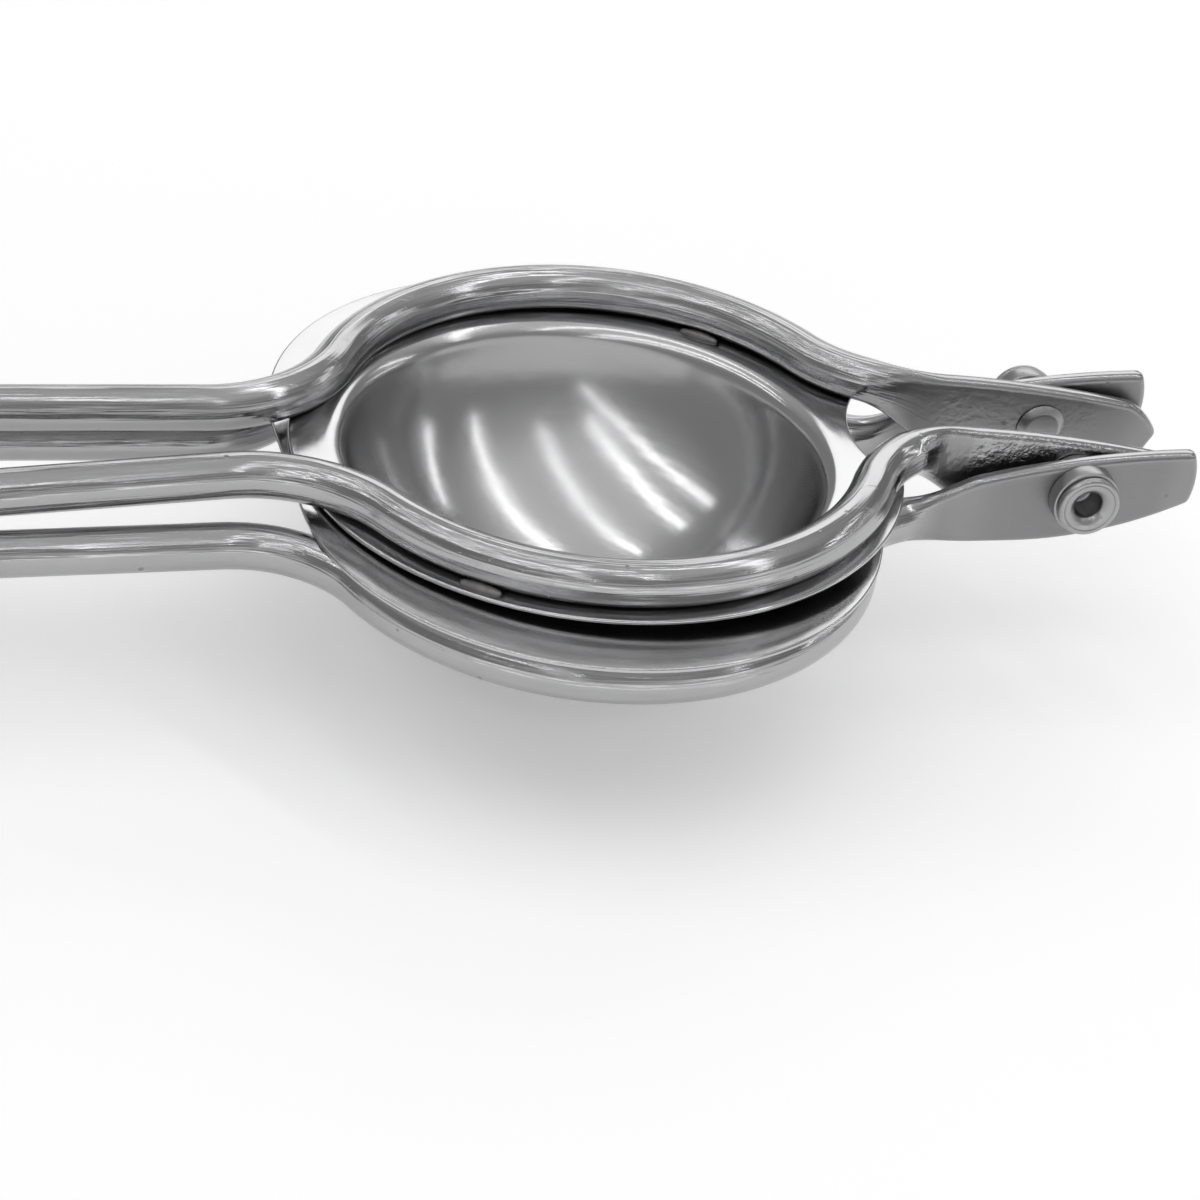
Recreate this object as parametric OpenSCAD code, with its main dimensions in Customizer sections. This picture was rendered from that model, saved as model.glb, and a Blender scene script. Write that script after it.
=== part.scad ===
// Hinged lemon squeezer made of two bent bars and two pressed cups.
// Z is up and Z = 0 is the flat foot of the strainer cup, whose axis is X = Y = 0.
// The handles run along -X and the hinge lies at +X, with its axis along Y.
// The press lever is drawn closed on the strainer lever, as it hangs in a shop.

/* [Bar] */
// Radius of the round bar that each lever is bent from
bar_r = 3.2; // [2.9:0.1:3.5]
// Thickness of the flattened strap at the hinge end
strap_t = 2.6; // [2.2:0.1:3]
// Height of the flattened strap at the hinge end
strap_h = 12; // [11:0.25:13]
// Thickness of the sheet that both cups are pressed from
sheet = 0.7; // [0.5:0.1:0.9]

/* [Handles] */
// Distance from the strainer cup's axis to the centre of the handle bends
grip_x = 109; // [90:1:140]
// Distance from the cup's axis to the narrow waist of the handles
waist_x = 50; // [48:1:54]
// Half the space between the press lever's bar centres at the waist
press_waist = 8.5; // [7:0.25:10]
// Half the space between the press lever's bar centres at the handle bend
press_grip = 12.4; // [11.5:0.1:12.6]
// Half the space between the strainer lever's bar centres at the waist
strainer_waist = 13.6; // [13:0.2:15]
// Half the space between the strainer lever's bar centres at the handle bend
strainer_grip = 15.2; // [15:0.1:16]

/* [Press lever] */
// Radius of the bar's centre line round the press cup
press_ring_r = 38.9; // [38.5:0.1:39.5]
// Distance from the cup's axis to the centre of the press ring
press_ring_x = 1.8; // [1:0.2:2.4]
// Radius of the bend between the handle and the press ring
press_neck_r = 22; // [16:1:26]
// Radius of the bend between the press ring and its straps
press_bend_r = 20; // [18:0.5:21]
// Radius of the long curve in the press lever's straps
press_strap_bend = 194; // [150:2:300]
// Fall of the press lever's straps at the hinge in degrees
press_strap_fall = 11; // [9:0.5:12]

/* [Strainer lever] */
// Radius of the bar's centre line round the strainer cup
strainer_ring_r = 37.2; // [37:0.1:38.5]
// Distance from the cup's axis to the ring's centres, toward the handle
strainer_ring_x = 1.5; // [0.5:0.1:1.6]
// Half the distance between the centres of the ring's two halves
strainer_ring_y = 10.5; // [10:0.25:13]
// Radius of the bend between the handle and the strainer ring
strainer_neck_r = 18; // [14:1:22]
// Radius of the bend between the strainer ring and its straps
strainer_bend_r = 12; // [11:0.5:13]

/* [Cups] */
// Radius at which the press cup's flat flange begins
press_lip_r = 36; // [34:0.25:36.25]
// Depth of the press cup inside
press_depth = 24; // [20:0.5:24.5]
// Radius of the press cup's flat bottom
press_flat_r = 9; // [6:0.5:11]
// Radius at which the strainer cup's flat flange begins
strainer_lip_r = 39; // [38.75:0.25:39.25]
// Depth of the strainer cup inside
strainer_depth = 28; // [27.5:0.5:30]
// Radius of the strainer cup's flat bottom
strainer_flat_r = 12; // [12:0.5:14]
// Radius of the rolled shoulder between each bowl and its flange
shoulder_r = 3; // [2:0.25:4]
// Width of the press flange left between its lip and its hinge-side notch
press_land = 3.2; // [2:0.2:4]
// Radius of the notch in the press flange
notch_r = 20; // [16:1:26]
// Width of the strainer flange beyond its lip on the hinge side
strainer_land = 1.6; // [1:0.2:2]

/* [Drain holes] */
// Radius of one drain hole
hole_r = 1.4; // [1:0.1:1.6]
// Distance between the circles of drain holes
hole_pitch = 5; // [4.5:0.1:5.4]
// Number of circles of drain holes
hole_rings = 4; // [2:1:5]

/* [Hinge] */
// Distance from the cup's axis to the hinge axis
pivot_x = 70; // [68:1:76]
// Height of the hinge axis above the strainer flange
pivot_up = 0.5; // [0:0.1:1]
// Distance from the middle plane to the centre of a press strap
press_strap_y = 7.15; // [6.9:0.05:7.5]
// Gap between a press strap and the strainer strap beside it
strap_gap = 1.1; // [0.9:0.1:1.5]
// Radius of the rivet's shank
shank_r = 3; // [2.5:0.1:3.3]
// Radius of the rivet's rolled rim
rim_r = 4.6; // [4.2:0.1:4.8]
// Thickness of the rolled rim
rim_t = 1.4; // [1:0.1:1.6]
// Radius of the rivet's hollow end
hollow_r = 2; // [1.5:0.1:2.2]
// Radius of the collar under the rolled rim
collar_r = 4.9; // [4.5:0.1:5.2]
// Thickness of the collar under the rolled rim
collar_t = 2.5; // [1.5:0.1:3]

/* [Closed position] */
// Height of the press flange above the strainer flange at the cup's axis
press_rise = 2; // [1.9:0.1:2.4]
// Tilt of the closed press lever, lower at the handle, in degrees
press_tilt = 1.4; // [1.1:0.1:1.4]

/* [Hidden] */
$fn = 96;

// Clearance between a bar and the flange that it is welded to
seat_gap = 0.05;
// Radial clearance of a rivet in the pieces that it is fixed in
fit_gap = 0.02;
// Radial clearance of a rivet in the straps that turn on it
run_gap = 0.06;
// Side play between a press strap and what lies beside it
play = 0.1;
// Overrun of every cut
over = 1;

// Heights of the strainer lever's pieces
strainer_top = strainer_depth + sheet;
strainer_bar_z = strainer_depth - seat_gap - bar_r;
pivot_z = strainer_top + pivot_up;

// Heights of the press lever's pieces above the top of its own flange
press_z = strainer_top + press_rise;
press_bar_z = bar_r + seat_gap;
press_pivot_x = pivot_x * cos(press_tilt) + (pivot_z - press_z) * sin(press_tilt);
press_pivot_z = (pivot_z - press_z) * cos(press_tilt) - pivot_x * sin(press_tilt);

// Places along the hinge axis, measured from the middle plane
strainer_strap_y = press_strap_y + strap_t + strap_gap;
collar_y = strainer_strap_y + strap_t / 2;
rim_y = collar_y + collar_t;
spacer_t = strap_gap - play;
spacer_r = collar_r - strap_t / 5;

// Head of the rivet inside the press straps
head_r = 3.8;
head_face_r = 2.6;
head_t = 0.9;
head_y = press_strap_y - strap_t / 2 - play;
// Depth of the rivet's hollow and of its flared mouth
hollow_depth = 5;
flare_r = 2.9;
flare_depth = 0.9;

// Outline of a strainer strap, with its places measured from the hinge axis
strainer_crown_r = 142;
strainer_crown_x = 16.8;
strainer_crown_share = 0.42;
strainer_heel_r = 60;
strainer_heel_x = -9;
strainer_heel_share = 0.67;
strainer_end_r = 12;
strainer_end_x = 5.5;
strainer_end_z = 1.3;

// Outline of a press strap's free end, measured from the hinge axis
press_end_r = 11.2;
press_end_x = 8.5;
press_end_z = -6.8;
press_cut_top = [18.9, -1.7];
press_cut_low = [15.6, -7.5];

// Length over which the round bar is squeezed flat, and where that starts
// before the end of the last bend
squeeze_len = 13;
press_squeeze_at = 11.5;
strainer_squeeze_at = 4;
// Share of that length after which the bar is as thin as its strap
thin_share = 0.6;
// Length of the squeezed bar that is sunk in the round bar and in the strap
lap = 1.2;
// Step by which the squeezed bar is slimmer than the pieces that it joins
lap_step = 0.05;
// Break between two stretches of bar, and the length and the swell of the
// short sleeve that fills it
joint_gap = 0.05;
joint_len = 0.5;
joint_swell = 0.02;
// Overlap between the turned inner edge of a flange and its flat plate
flange_lap = 0.6;
// Rings and sides of the squeezed bar
squeeze_rings = 16;
squeeze_sides = 24;
// Roundness of its section, from a circle to a strap with soft corners
round_power = 2;
strap_power = 7;

// Reach of the flanges beyond the outside of their bars
press_edge = 0.9;
strainer_edge = 0.15;

// Weld beads between bar and flange: radius, place and length
bead_r = 1.1;
bead_off = 2.4;
bead_len = 6;
// Beads of the press ring: angle from +X, and 1 outside or -1 inside the bar
press_beads = [[52, -1], [126, 1], [-52, -1], [-126, 1]];
// Angles of the beads on each half of the strainer ring
strainer_beads = [62, 116];

// Point at distance r and angle a from point c
function polar(c, r, a) = [c.x + r * cos(a), c.y + r * sin(a)];

// Value between a and b at share w
function mix(a, b, w) = a + (b - a) * w;

// Share that starts and ends level
function ease(w) = w * w * (3 - 2 * w);

// Sine or cosine value drawn toward a square, at one power of roundness
function squared(v, power) = sign(v) * pow(abs(v), 2 / power);

// Height of a circle above or below its centre at place x
function arc_z(c, r, x) = c.y + sign(r) * sqrt(r * r - (x - c.x) * (x - c.x));

// Radius of a bowl that meets its shoulder and its flat bottom smoothly
function bowl_radius(lip_r, depth, flat_r) =
    let(
        k = lip_r * lip_r - flat_r * flat_r + depth * depth - 2 * shoulder_r * depth,
        drop = depth - shoulder_r,
        qa = drop * drop - shoulder_r * shoulder_r,
        qb = k * shoulder_r,
        qc = -(k * k / 4 + drop * drop * flat_r * flat_r)
    )
    (sqrt(qb * qb - 4 * qa * qc) - qb) / (2 * qa);

// Straight stretch of round bar between two points of one plane
module bar_line(p, q) {
    run = q - p;
    translate([p.x, p.y, 0])
        rotate([0, 0, atan2(run.y, run.x)])
            translate([joint_gap, 0, 0])
                rotate([0, 90, 0])
                    cylinder(r = bar_r, h = norm(run) - 2 * joint_gap);
}

// Bent stretch of round bar about a centre, from angle a to angle b
module bar_arc(c, r, a, b) {
    gap = joint_gap / r * 180 / PI;
    translate([c.x, c.y, 0])
        rotate([0, 0, a + gap])
            rotate_extrude(angle = b - a - 2 * gap)
                translate([r, 0])
                    circle(r = bar_r);
}

// Sleeve that joins two stretches of round bar at a point, where the bar runs
// in direction a
module bar_joint(p, a) {
    translate([p.x, p.y, 0])
        rotate([0, 0, a])
            rotate([0, 90, 0])
                cylinder(r = bar_r + joint_swell, h = joint_len, center = true);
}

// Closed skin through a list of rings that have equally many points
module skin(rings) {
    sides = len(rings[0]);
    last = len(rings) - 1;
    points = [for (ring = rings) each ring];
    walls = [
        for (i = [0 : last - 1])
            for (j = [0 : sides - 1])
                let(
                    k = (j + 1) % sides,
                    a = i * sides + j,
                    b = i * sides + k,
                    c = a + sides,
                    d = b + sides
                )
                each [[a, d, b], [a, c, d]]
    ];
    caps = [
        [for (j = [0 : sides - 1]) j],
        [for (j = [sides - 1 : -1 : 0]) last * sides + j]
    ];
    polyhedron(points = points, faces = concat(walls, caps), convexity = 6);
}

// Bar squeezed from round to flat along the end of its last bend.
// The bend ends at place end_x on the line y = strap_y, and the squeezing starts
// squeeze_at before that. top and bottom give the strap's edges at place x.
module squeezed_bar(end_x, bend_r, strap_y, squeeze_at, bar_z, top, bottom) {
    steps = squeeze_rings - 1;
    rings = [
        for (i = [0 : steps])
            let(
                s = mix(-squeeze_at - lap, squeeze_len - squeeze_at + lap, i / steps),
                share = min(1, max(0, (s + squeeze_at) / squeeze_len)),
                w = ease(share),
                turn = s < 0 ? -s / bend_r * 180 / PI : 0,
                x = s < 0 ? end_x - bend_r * sin(turn) : end_x + s,
                y = s < 0 ? strap_y + bend_r * (1 - cos(turn)) : strap_y,
                zt = mix(bar_z + bar_r, top(x), w) - lap_step,
                zb = mix(bar_z - bar_r, bottom(x), w) + lap_step,
                half = mix(bar_r, strap_t / 2, ease(min(1, share / thin_share))) - lap_step,
                power = mix(round_power, strap_power, w)
            )
            [
                for (j = [0 : squeeze_sides - 1])
                    let(
                        a = 360 * (j + 0.5) / squeeze_sides,
                        side = half * squared(cos(a), power),
                        up = (zt - zb) / 2 * squared(sin(a), power)
                    )
                    [x + side * sin(turn), y + side * cos(turn), (zt + zb) / 2 + up]
            ]
    ];
    skin(rings);
}

// A lever's bar: the handle bend and, on each side, the leg, the neck bend, half the
// ring, the last bend and the stretch that is squeezed flat toward the strap
module lever_bar(ring_c, ring_r, neck_r, bend_r, waist, grip, strap_y,
                 squeeze_at, bar_z, top, bottom) {
    slope = (grip - waist) / (grip_x - waist_x);
    lean = atan(slope);
    grip_r = grip * cos(lean);
    grip_c = [-grip_x, 0];

    // The neck bend touches the handle's line and the ring from outside
    line_y = waist - slope * waist_x + neck_r / cos(lean);
    reach = neck_r + ring_r;
    gap_y = line_y - ring_c.y;
    qa = 1 + slope * slope;
    qb = -2 * (ring_c.x + slope * gap_y);
    qc = ring_c.x * ring_c.x + gap_y * gap_y - reach * reach;
    neck_x = (-qb - sqrt(qb * qb - 4 * qa * qc)) / (2 * qa);
    neck_c = [neck_x, line_y - slope * neck_x];

    // The last bend touches the ring from outside and the strap's line
    bend_y = strap_y + bend_r;
    rise = bend_y - ring_c.y;
    bend_c = [ring_c.x + sqrt(pow(bend_r + ring_r, 2) - rise * rise), bend_y];

    neck_a = atan2(neck_c.y - ring_c.y, neck_c.x - ring_c.x);
    bend_a = atan2(rise, bend_c.x - ring_c.x);
    squeeze_a = squeeze_at / bend_r * 180 / PI;

    leg_start = polar(grip_c, grip_r, 90 - lean);
    leg_end = polar(neck_c, neck_r, -90 - lean);

    translate([0, 0, bar_z])
        bar_arc(grip_c, grip_r, 90 - lean, 270 + lean);
    both_sides() {
        translate([0, 0, bar_z]) {
            bar_joint(leg_start, -lean);
            bar_line(leg_start, leg_end);
            bar_joint(leg_end, -lean);
            bar_arc(neck_c, neck_r, -90 - lean, neck_a - 180);
            bar_joint(polar(ring_c, ring_r, neck_a), neck_a + 90);
            bar_arc(ring_c, ring_r, bend_a, neck_a);
            bar_joint(polar(ring_c, ring_r, bend_a), bend_a + 90);
            bar_arc(bend_c, bend_r, 180 + bend_a, 270 - squeeze_a);
        }
        squeezed_bar(bend_c.x, bend_r, strap_y, squeeze_at, bar_z, top, bottom);
    }
}

// Flat strap cut from a side outline, with its bore for the rivet
module strap(strap_y, hinge_x, hinge_z, bore_r) {
    translate([hinge_x, strap_y, hinge_z])
        rotate([90, 0, 0])
            difference() {
                linear_extrude(height = strap_t, center = true)
                    children();
                cylinder(r = bore_r, h = strap_t + 2 * over, center = true);
            }
}

// Centre of the press strap's long curve, measured from the hinge axis
press_curve = -press_strap_bend * [sin(press_strap_fall), cos(press_strap_fall)];

// Start of a press strap and of a strainer strap
function bend_end(ring_x, ring_y, ring_r, bend_r, strap_y) =
    ring_x + sqrt(pow(bend_r + ring_r, 2) - pow(strap_y + bend_r - ring_y, 2));
press_strap_x = bend_end(press_ring_x, 0, press_ring_r, press_bend_r, press_strap_y)
    + squeeze_len - press_squeeze_at;
strainer_strap_x = bend_end(-strainer_ring_x, strainer_ring_y, strainer_ring_r,
                            strainer_bend_r, strainer_strap_y)
    + squeeze_len - strainer_squeeze_at;

// Centres of the strainer strap's crown and heel curves, from the hinge axis
strainer_crown = [
    strainer_crown_x,
    strainer_crown_share * strap_h
        - sqrt(pow(strainer_crown_r, 2) - pow(strainer_crown_x, 2))
];
strainer_heel = [strainer_heel_x, strainer_heel_r - strainer_heel_share * strap_h];

// Side outline of a press strap, round the hinge axis
module press_strap_outline() {
    start_x = press_strap_x - press_pivot_x;
    intersection() {
        difference() {
            translate(press_curve)
                circle(r = press_strap_bend + strap_h / 2);
            translate(press_curve)
                circle(r = press_strap_bend - strap_h / 2);
        }
        union() {
            translate([start_x, -2 * strap_h])
                square([press_end_x - start_x, 4 * strap_h]);
            translate([press_end_x, press_end_z])
                circle(r = press_end_r);
        }
        polygon([
            [start_x, 2 * strap_h],
            [start_x, -2 * strap_h],
            mix(press_cut_top, press_cut_low, 3),
            press_cut_low,
            press_cut_top,
            mix(press_cut_low, press_cut_top, 5)
        ]);
    }
}

// Side outline of a strainer strap, round the hinge axis
module strainer_strap_outline() {
    start_x = strainer_strap_x - pivot_x;
    low_z = -strainer_heel_share * strap_h;
    intersection() {
        translate(strainer_crown)
            circle(r = strainer_crown_r);
        union() {
            translate([start_x, low_z])
                square([strainer_heel_x - start_x, 2 * strap_h]);
            translate(strainer_heel)
                circle(r = strainer_heel_r);
        }
        union() {
            translate([start_x, -2 * strap_h])
                square([strainer_end_x - start_x, 4 * strap_h]);
            translate([strainer_end_x, strainer_end_z])
                circle(r = strainer_end_r);
        }
    }
}

// Puts a piece that is drawn level on its own flange into its closed place
module on_press() {
    translate([0, 0, press_z])
        rotate([0, -press_tilt, 0])
            children();
}

// A piece and its mirror image across the middle plane
module both_sides() {
    children();
    mirror([0, 1, 0])
        children();
}

// Bowl with its rolled shoulder, from the flange's top at z = 0 down
module bowl(lip_r, depth, flat_r) {
    r = bowl_radius(lip_r, depth, flat_r);
    centre_z = sqrt(r * r - flat_r * flat_r) - depth;
    bowl_c = [0, centre_z];
    shoulder_c = [lip_r, -shoulder_r];
    far = 2 * lip_r;
    // The wall meets the shoulder on the line between their two centres
    out = (shoulder_c - bowl_c) / norm(shoulder_c - bowl_c);
    gap = joint_gap * [out.y, -out.x];
    rotate_extrude() {
        // Round wall and flat bottom, below that line
        intersection() {
            difference() {
                intersection() {
                    translate(bowl_c)
                        circle(r = r + sheet);
                    translate([0, -depth - sheet])
                        square(far);
                }
                intersection() {
                    translate(bowl_c)
                        circle(r = r);
                    translate([-far, -depth])
                        square(2 * far);
                }
            }
            polygon([
                bowl_c + gap,
                [0, -far],
                [far, -far],
                bowl_c + far * out + gap
            ]);
        }
        translate(bowl_c + (r + sheet / 2) * out)
            circle(r = sheet / 2 + joint_swell);
        // Shoulder, between that line and the start of the flange
        intersection() {
            translate(shoulder_c)
                difference() {
                    circle(r = shoulder_r);
                    circle(r = shoulder_r - sheet);
                }
            polygon([shoulder_c - gap, bowl_c - gap, [lip_r, centre_z]]);
        }
        // Start of the flange
        translate([lip_r, -sheet])
            square([2 * flange_lap, sheet]);
    }
}

// Outline of the press flange
module press_flange() {
    difference() {
        translate([press_ring_x, 0])
            circle(r = press_ring_r + bar_r + press_edge);
        translate([press_lip_r + press_land + notch_r, 0])
            circle(r = notch_r);
    }
}

// Outline of the strainer flange
module strainer_flange() {
    r = strainer_ring_r + bar_r + strainer_edge;
    for (side = [-1, 1])
        translate([-strainer_ring_x, side * strainer_ring_y])
            circle(r = r);
    translate([-strainer_ring_x - r, -strainer_ring_y])
        square([2 * r, 2 * strainer_ring_y]);
    circle(r = strainer_lip_r + strainer_land);
}

// Flat flange round a bowl, with its top at z = 0
module flange_plate(lip_r) {
    translate([0, 0, -sheet])
        linear_extrude(height = sheet)
            difference() {
                children();
                circle(r = lip_r + flange_lap);
            }
}

// Short weld bead in the corner between a ring and a plate above z = 0
module bead(ring_r, side, at) {
    span = bead_len / ring_r * 180 / PI;
    rotate([0, 0, at - span / 2])
        rotate_extrude(angle = span)
            translate([ring_r, 0])
                difference() {
                    intersection() {
                        translate([side * bead_off, 0])
                            circle(r = bead_r);
                        translate([-2 * bar_r, 0])
                            square([4 * bar_r, bar_r]);
                    }
                    translate([0, bar_r + seat_gap])
                        circle(r = bar_r + fit_gap);
                }
}

// Turns a piece drawn upward onto the hinge axis, to the front or to the back
module on_hinge(side) {
    translate([pivot_x, 0, pivot_z])
        rotate([-90 * side, 0, 0])
            children();
}

// Lower lever: one bar with a handle bend, a ring and two outer straps
module strainer_lever() {
    top = function (x) arc_z(strainer_crown + [pivot_x, pivot_z], strainer_crown_r, x);
    bottom = function (x) pivot_z - strainer_heel_share * strap_h;
    color("gainsboro") {
        lever_bar([-strainer_ring_x, strainer_ring_y], strainer_ring_r,
                  strainer_neck_r, strainer_bend_r, strainer_waist, strainer_grip,
                  strainer_strap_y, strainer_squeeze_at, strainer_bar_z, top, bottom);
        both_sides()
            strap(strainer_strap_y, pivot_x, pivot_z, shank_r + fit_gap)
                strainer_strap_outline();
    }
}

// Upper lever: one bar with a handle bend, a ring and two inner straps
module press_lever() {
    curve = press_curve + [press_pivot_x, press_pivot_z];
    top = function (x) arc_z(curve, press_strap_bend + strap_h / 2, x);
    bottom = function (x) arc_z(curve, press_strap_bend - strap_h / 2, x);
    color("silver")
        on_press() {
            lever_bar([press_ring_x, 0], press_ring_r, press_neck_r, press_bend_r,
                      press_waist, press_grip, press_strap_y, press_squeeze_at,
                      press_bar_z, top, bottom);
            both_sides()
                strap(press_strap_y, press_pivot_x, press_pivot_z, shank_r + run_gap)
                    press_strap_outline();
        }
}

// Lower cup, pressed in one piece with its flange and pierced to drain
module strainer_cup() {
    color("lightgrey")
        difference() {
            translate([0, 0, strainer_top]) {
                bowl(strainer_lip_r, strainer_depth, strainer_flat_r);
                flange_plate(strainer_lip_r)
                    strainer_flange();
            }
            for (ring = [1 : hole_rings])
                for (i = [0 : 6 * ring - 1])
                    rotate([0, 0, 60 * i / ring])
                        translate([ring * hole_pitch, 0, -over])
                            cylinder(r = hole_r, h = strainer_depth);
        }
}

// Upper cup, pressed in one piece with its notched flange
module press_cup() {
    color("lightgrey")
        on_press() {
            bowl(press_lip_r, press_depth, press_flat_r);
            flange_plate(press_lip_r)
                press_flange();
        }
}

// Hollow rivet with a low head inside and a rolled rim outside
module rivet() {
    tip_y = rim_y + rim_t;
    color("lightsteelblue")
        rotate_extrude()
            difference() {
                union() {
                    polygon([
                        [0, head_y - head_t],
                        [head_face_r, head_y - head_t],
                        [head_r, head_y],
                        [0, head_y]
                    ]);
                    translate([0, head_y])
                        square([shank_r, rim_y - head_y]);
                    translate([0, rim_y])
                        square([rim_r - rim_t / 2, rim_t]);
                    translate([rim_r - rim_t / 2, rim_y + rim_t / 2])
                        circle(r = rim_t / 2);
                }
                translate([0, tip_y - hollow_depth])
                    square([hollow_r, hollow_depth + over]);
                polygon([
                    [0, tip_y],
                    [0, tip_y - flare_depth],
                    [hollow_r, tip_y - flare_depth],
                    [flare_r, tip_y]
                ]);
            }
}

// Ring on the rivet, from place y outward
module ring_on_rivet(y, r, thick) {
    translate([0, 0, y])
        difference() {
            cylinder(r = r, h = thick);
            translate([0, 0, -over])
                cylinder(r = shank_r + fit_gap, h = thick + 2 * over);
        }
}

// Collar between a strainer strap and the rolled rim
module collar() {
    color("slategrey")
        ring_on_rivet(collar_y, collar_r, collar_t);
}

// Thin washer between a press strap and a strainer strap
module spacer() {
    color("darkgrey")
        ring_on_rivet(collar_y - strap_t - spacer_t, spacer_r, spacer_t);
}

// Weld beads under the strainer flange
module strainer_welds() {
    color("dimgrey")
        both_sides()
            for (at = strainer_beads)
                translate([-strainer_ring_x, strainer_ring_y, strainer_depth])
                    mirror([0, 0, 1])
                        bead(strainer_ring_r, -1, at);
}

// Weld beads on top of the press flange
module press_welds() {
    color("dimgrey")
        on_press()
            translate([press_ring_x, 0, 0])
                for (spot = press_beads)
                    bead(press_ring_r, spot[1], spot[0]);
}

strainer_lever();
press_lever();
strainer_cup();
press_cup();
on_hinge(-1) rivet();  // front_rivet
on_hinge(1) rivet();  // back_rivet
on_hinge(-1) collar();  // front_collar
on_hinge(1) collar();  // back_collar
on_hinge(-1) spacer();  // front_spacer
on_hinge(1) spacer();  // back_spacer
strainer_welds();
press_welds();
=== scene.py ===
# %% [markdown]
# # A hinged lemon squeezer of bent stainless bar
# Two levers hold two pressed cups, one nested in the other. Each lever is a single bar
# that is bent into a handle, a ring and two legs, whose ends are squeezed flat and
# riveted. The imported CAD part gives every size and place, and this lesson dresses it
# with rounded edges, forging marks and steel finishes.

# %% Load the frame
import math

import bpy
import numpy as np
from mathutils import Matrix, Vector


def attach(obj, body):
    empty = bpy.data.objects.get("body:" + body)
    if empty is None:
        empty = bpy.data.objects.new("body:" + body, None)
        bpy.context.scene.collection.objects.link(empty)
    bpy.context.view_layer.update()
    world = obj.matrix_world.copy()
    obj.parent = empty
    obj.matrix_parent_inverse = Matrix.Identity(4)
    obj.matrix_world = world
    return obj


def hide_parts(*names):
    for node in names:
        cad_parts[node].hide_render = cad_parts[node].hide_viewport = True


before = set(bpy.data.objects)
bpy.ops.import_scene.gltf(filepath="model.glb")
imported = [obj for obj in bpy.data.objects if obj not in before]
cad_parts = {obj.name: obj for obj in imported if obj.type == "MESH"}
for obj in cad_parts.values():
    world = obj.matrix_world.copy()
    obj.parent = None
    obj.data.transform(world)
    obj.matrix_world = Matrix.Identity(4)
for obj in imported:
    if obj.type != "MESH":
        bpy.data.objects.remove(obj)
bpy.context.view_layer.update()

# %% [markdown]
# ## Sizes
# The source of the part is written in millimetres, and so are the sizes here. Blender
# works in metres, so every finished mesh is scaled once. The press half is drawn level
# on its own flange and then tilted into its closed place, as in the CAD source.

# %% Sizes of the bar, the sheet and the hinge
MM = 0.001
BAR_R = 3.2
STRAP_T = 2.6
STRAP_H = 12.0
SHEET = 0.7
SEAT_GAP = 0.05
STRAINER_DEPTH = 28.0
PRESS_DEPTH = 24.0
SHOULDER_R = 3.0
STRAINER_TOP = STRAINER_DEPTH + SHEET
PIVOT_X = 70.0
PIVOT_Z = STRAINER_TOP + 0.5
PRESS_STRAP_Y = 7.15
STRAP_GAP = 1.1
STRAINER_STRAP_Y = PRESS_STRAP_Y + STRAP_T + STRAP_GAP
PRESS_Z = STRAINER_TOP + 2.0
TILT = math.radians(1.4)
LEVEL = Matrix.Diagonal((MM, MM, MM, 1.0))
CLOSED = LEVEL @ Matrix.Translation((0, 0, PRESS_Z)) @ Matrix.Rotation(-TILT, 4, "Y")
PRESS_PIVOT = (
    PIVOT_X * math.cos(TILT) + (PIVOT_Z - PRESS_Z) * math.sin(TILT),
    (PIVOT_Z - PRESS_Z) * math.cos(TILT) - PIVOT_X * math.sin(TILT),
)
print("press pivot on its own flange:", PRESS_PIVOT)


# %% [markdown]
# ## Helpers
# One call makes an object from points and faces, and one places a node in a tree with
# its inputs linked or set. Short calls wrap the nodes that come back often. Another
# runs a node tree and keeps only its plain mesh, because the finished pieces may not
# carry a live tree. The rest make faces, measure a mesh and shade it.

# %% Make objects and node trees
def piece(name, points, faces=(), edges=(), place=None):
    """A mesh object from points in millimetres, placed in the part's frame."""
    mesh = bpy.data.meshes.new(name)
    mesh.from_pydata([tuple(map(float, p)) for p in points], list(edges), list(faces))
    mesh.update()
    if place is not None:
        mesh.transform(place)
    made = bpy.data.objects.new(name, mesh)
    bpy.context.scene.collection.objects.link(made)
    return made


def put(tree, kind, inputs=None, **settings):
    """A node with its settings made and its inputs linked or set."""
    node = tree.nodes.new(kind)
    for key, value in settings.items():
        setattr(node, key, value)
    for key, value in (inputs or {}).items():
        if isinstance(value, bpy.types.NodeSocket):
            tree.links.new(value, node.inputs[key])
        else:
            node.inputs[key].default_value = value
    return node


SOCKET_KINDS = {int: "Int", float: "Float", tuple: "Color"}


def new_tree(name, kind, inputs, outputs):
    """An empty tree with named sockets, its input node and its output node.

    Each socket is given by its usual value, or by its kind where it has none.
    """
    tree = bpy.data.node_groups.new(name, kind)
    for in_out, sockets in (("INPUT", inputs), ("OUTPUT", outputs)):
        for label, value in sockets.items():
            only_kind = isinstance(value, str)
            socket = "NodeSocket" + (value if only_kind else SOCKET_KINDS[type(value)])
            made = tree.interface.new_socket(label, in_out=in_out, socket_type=socket)
            if not only_kind:
                made.default_value = value
    return tree, tree.nodes.new("NodeGroupInput"), tree.nodes.new("NodeGroupOutput")


def geometry_tree(name, inputs):
    """An empty geometry tree for one mesh, with its own inputs and a material."""
    inputs = {"Geometry": "Geometry", **inputs, "Material": "Material"}
    return new_tree(name, "GeometryNodeTree", inputs, {"Geometry": "Geometry"})


# %% Short calls for nodes that come back often
def maths_in(tree):
    """A short call that places a math node in one tree and gives its result."""
    def maths(operation, a, b=None, c=None, **settings):
        inputs = {k: v for k, v in enumerate((a, b, c)) if v is not None}
        return put(tree, "ShaderNodeMath", inputs, operation=operation, **settings).outputs[0]
    return maths


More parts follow.
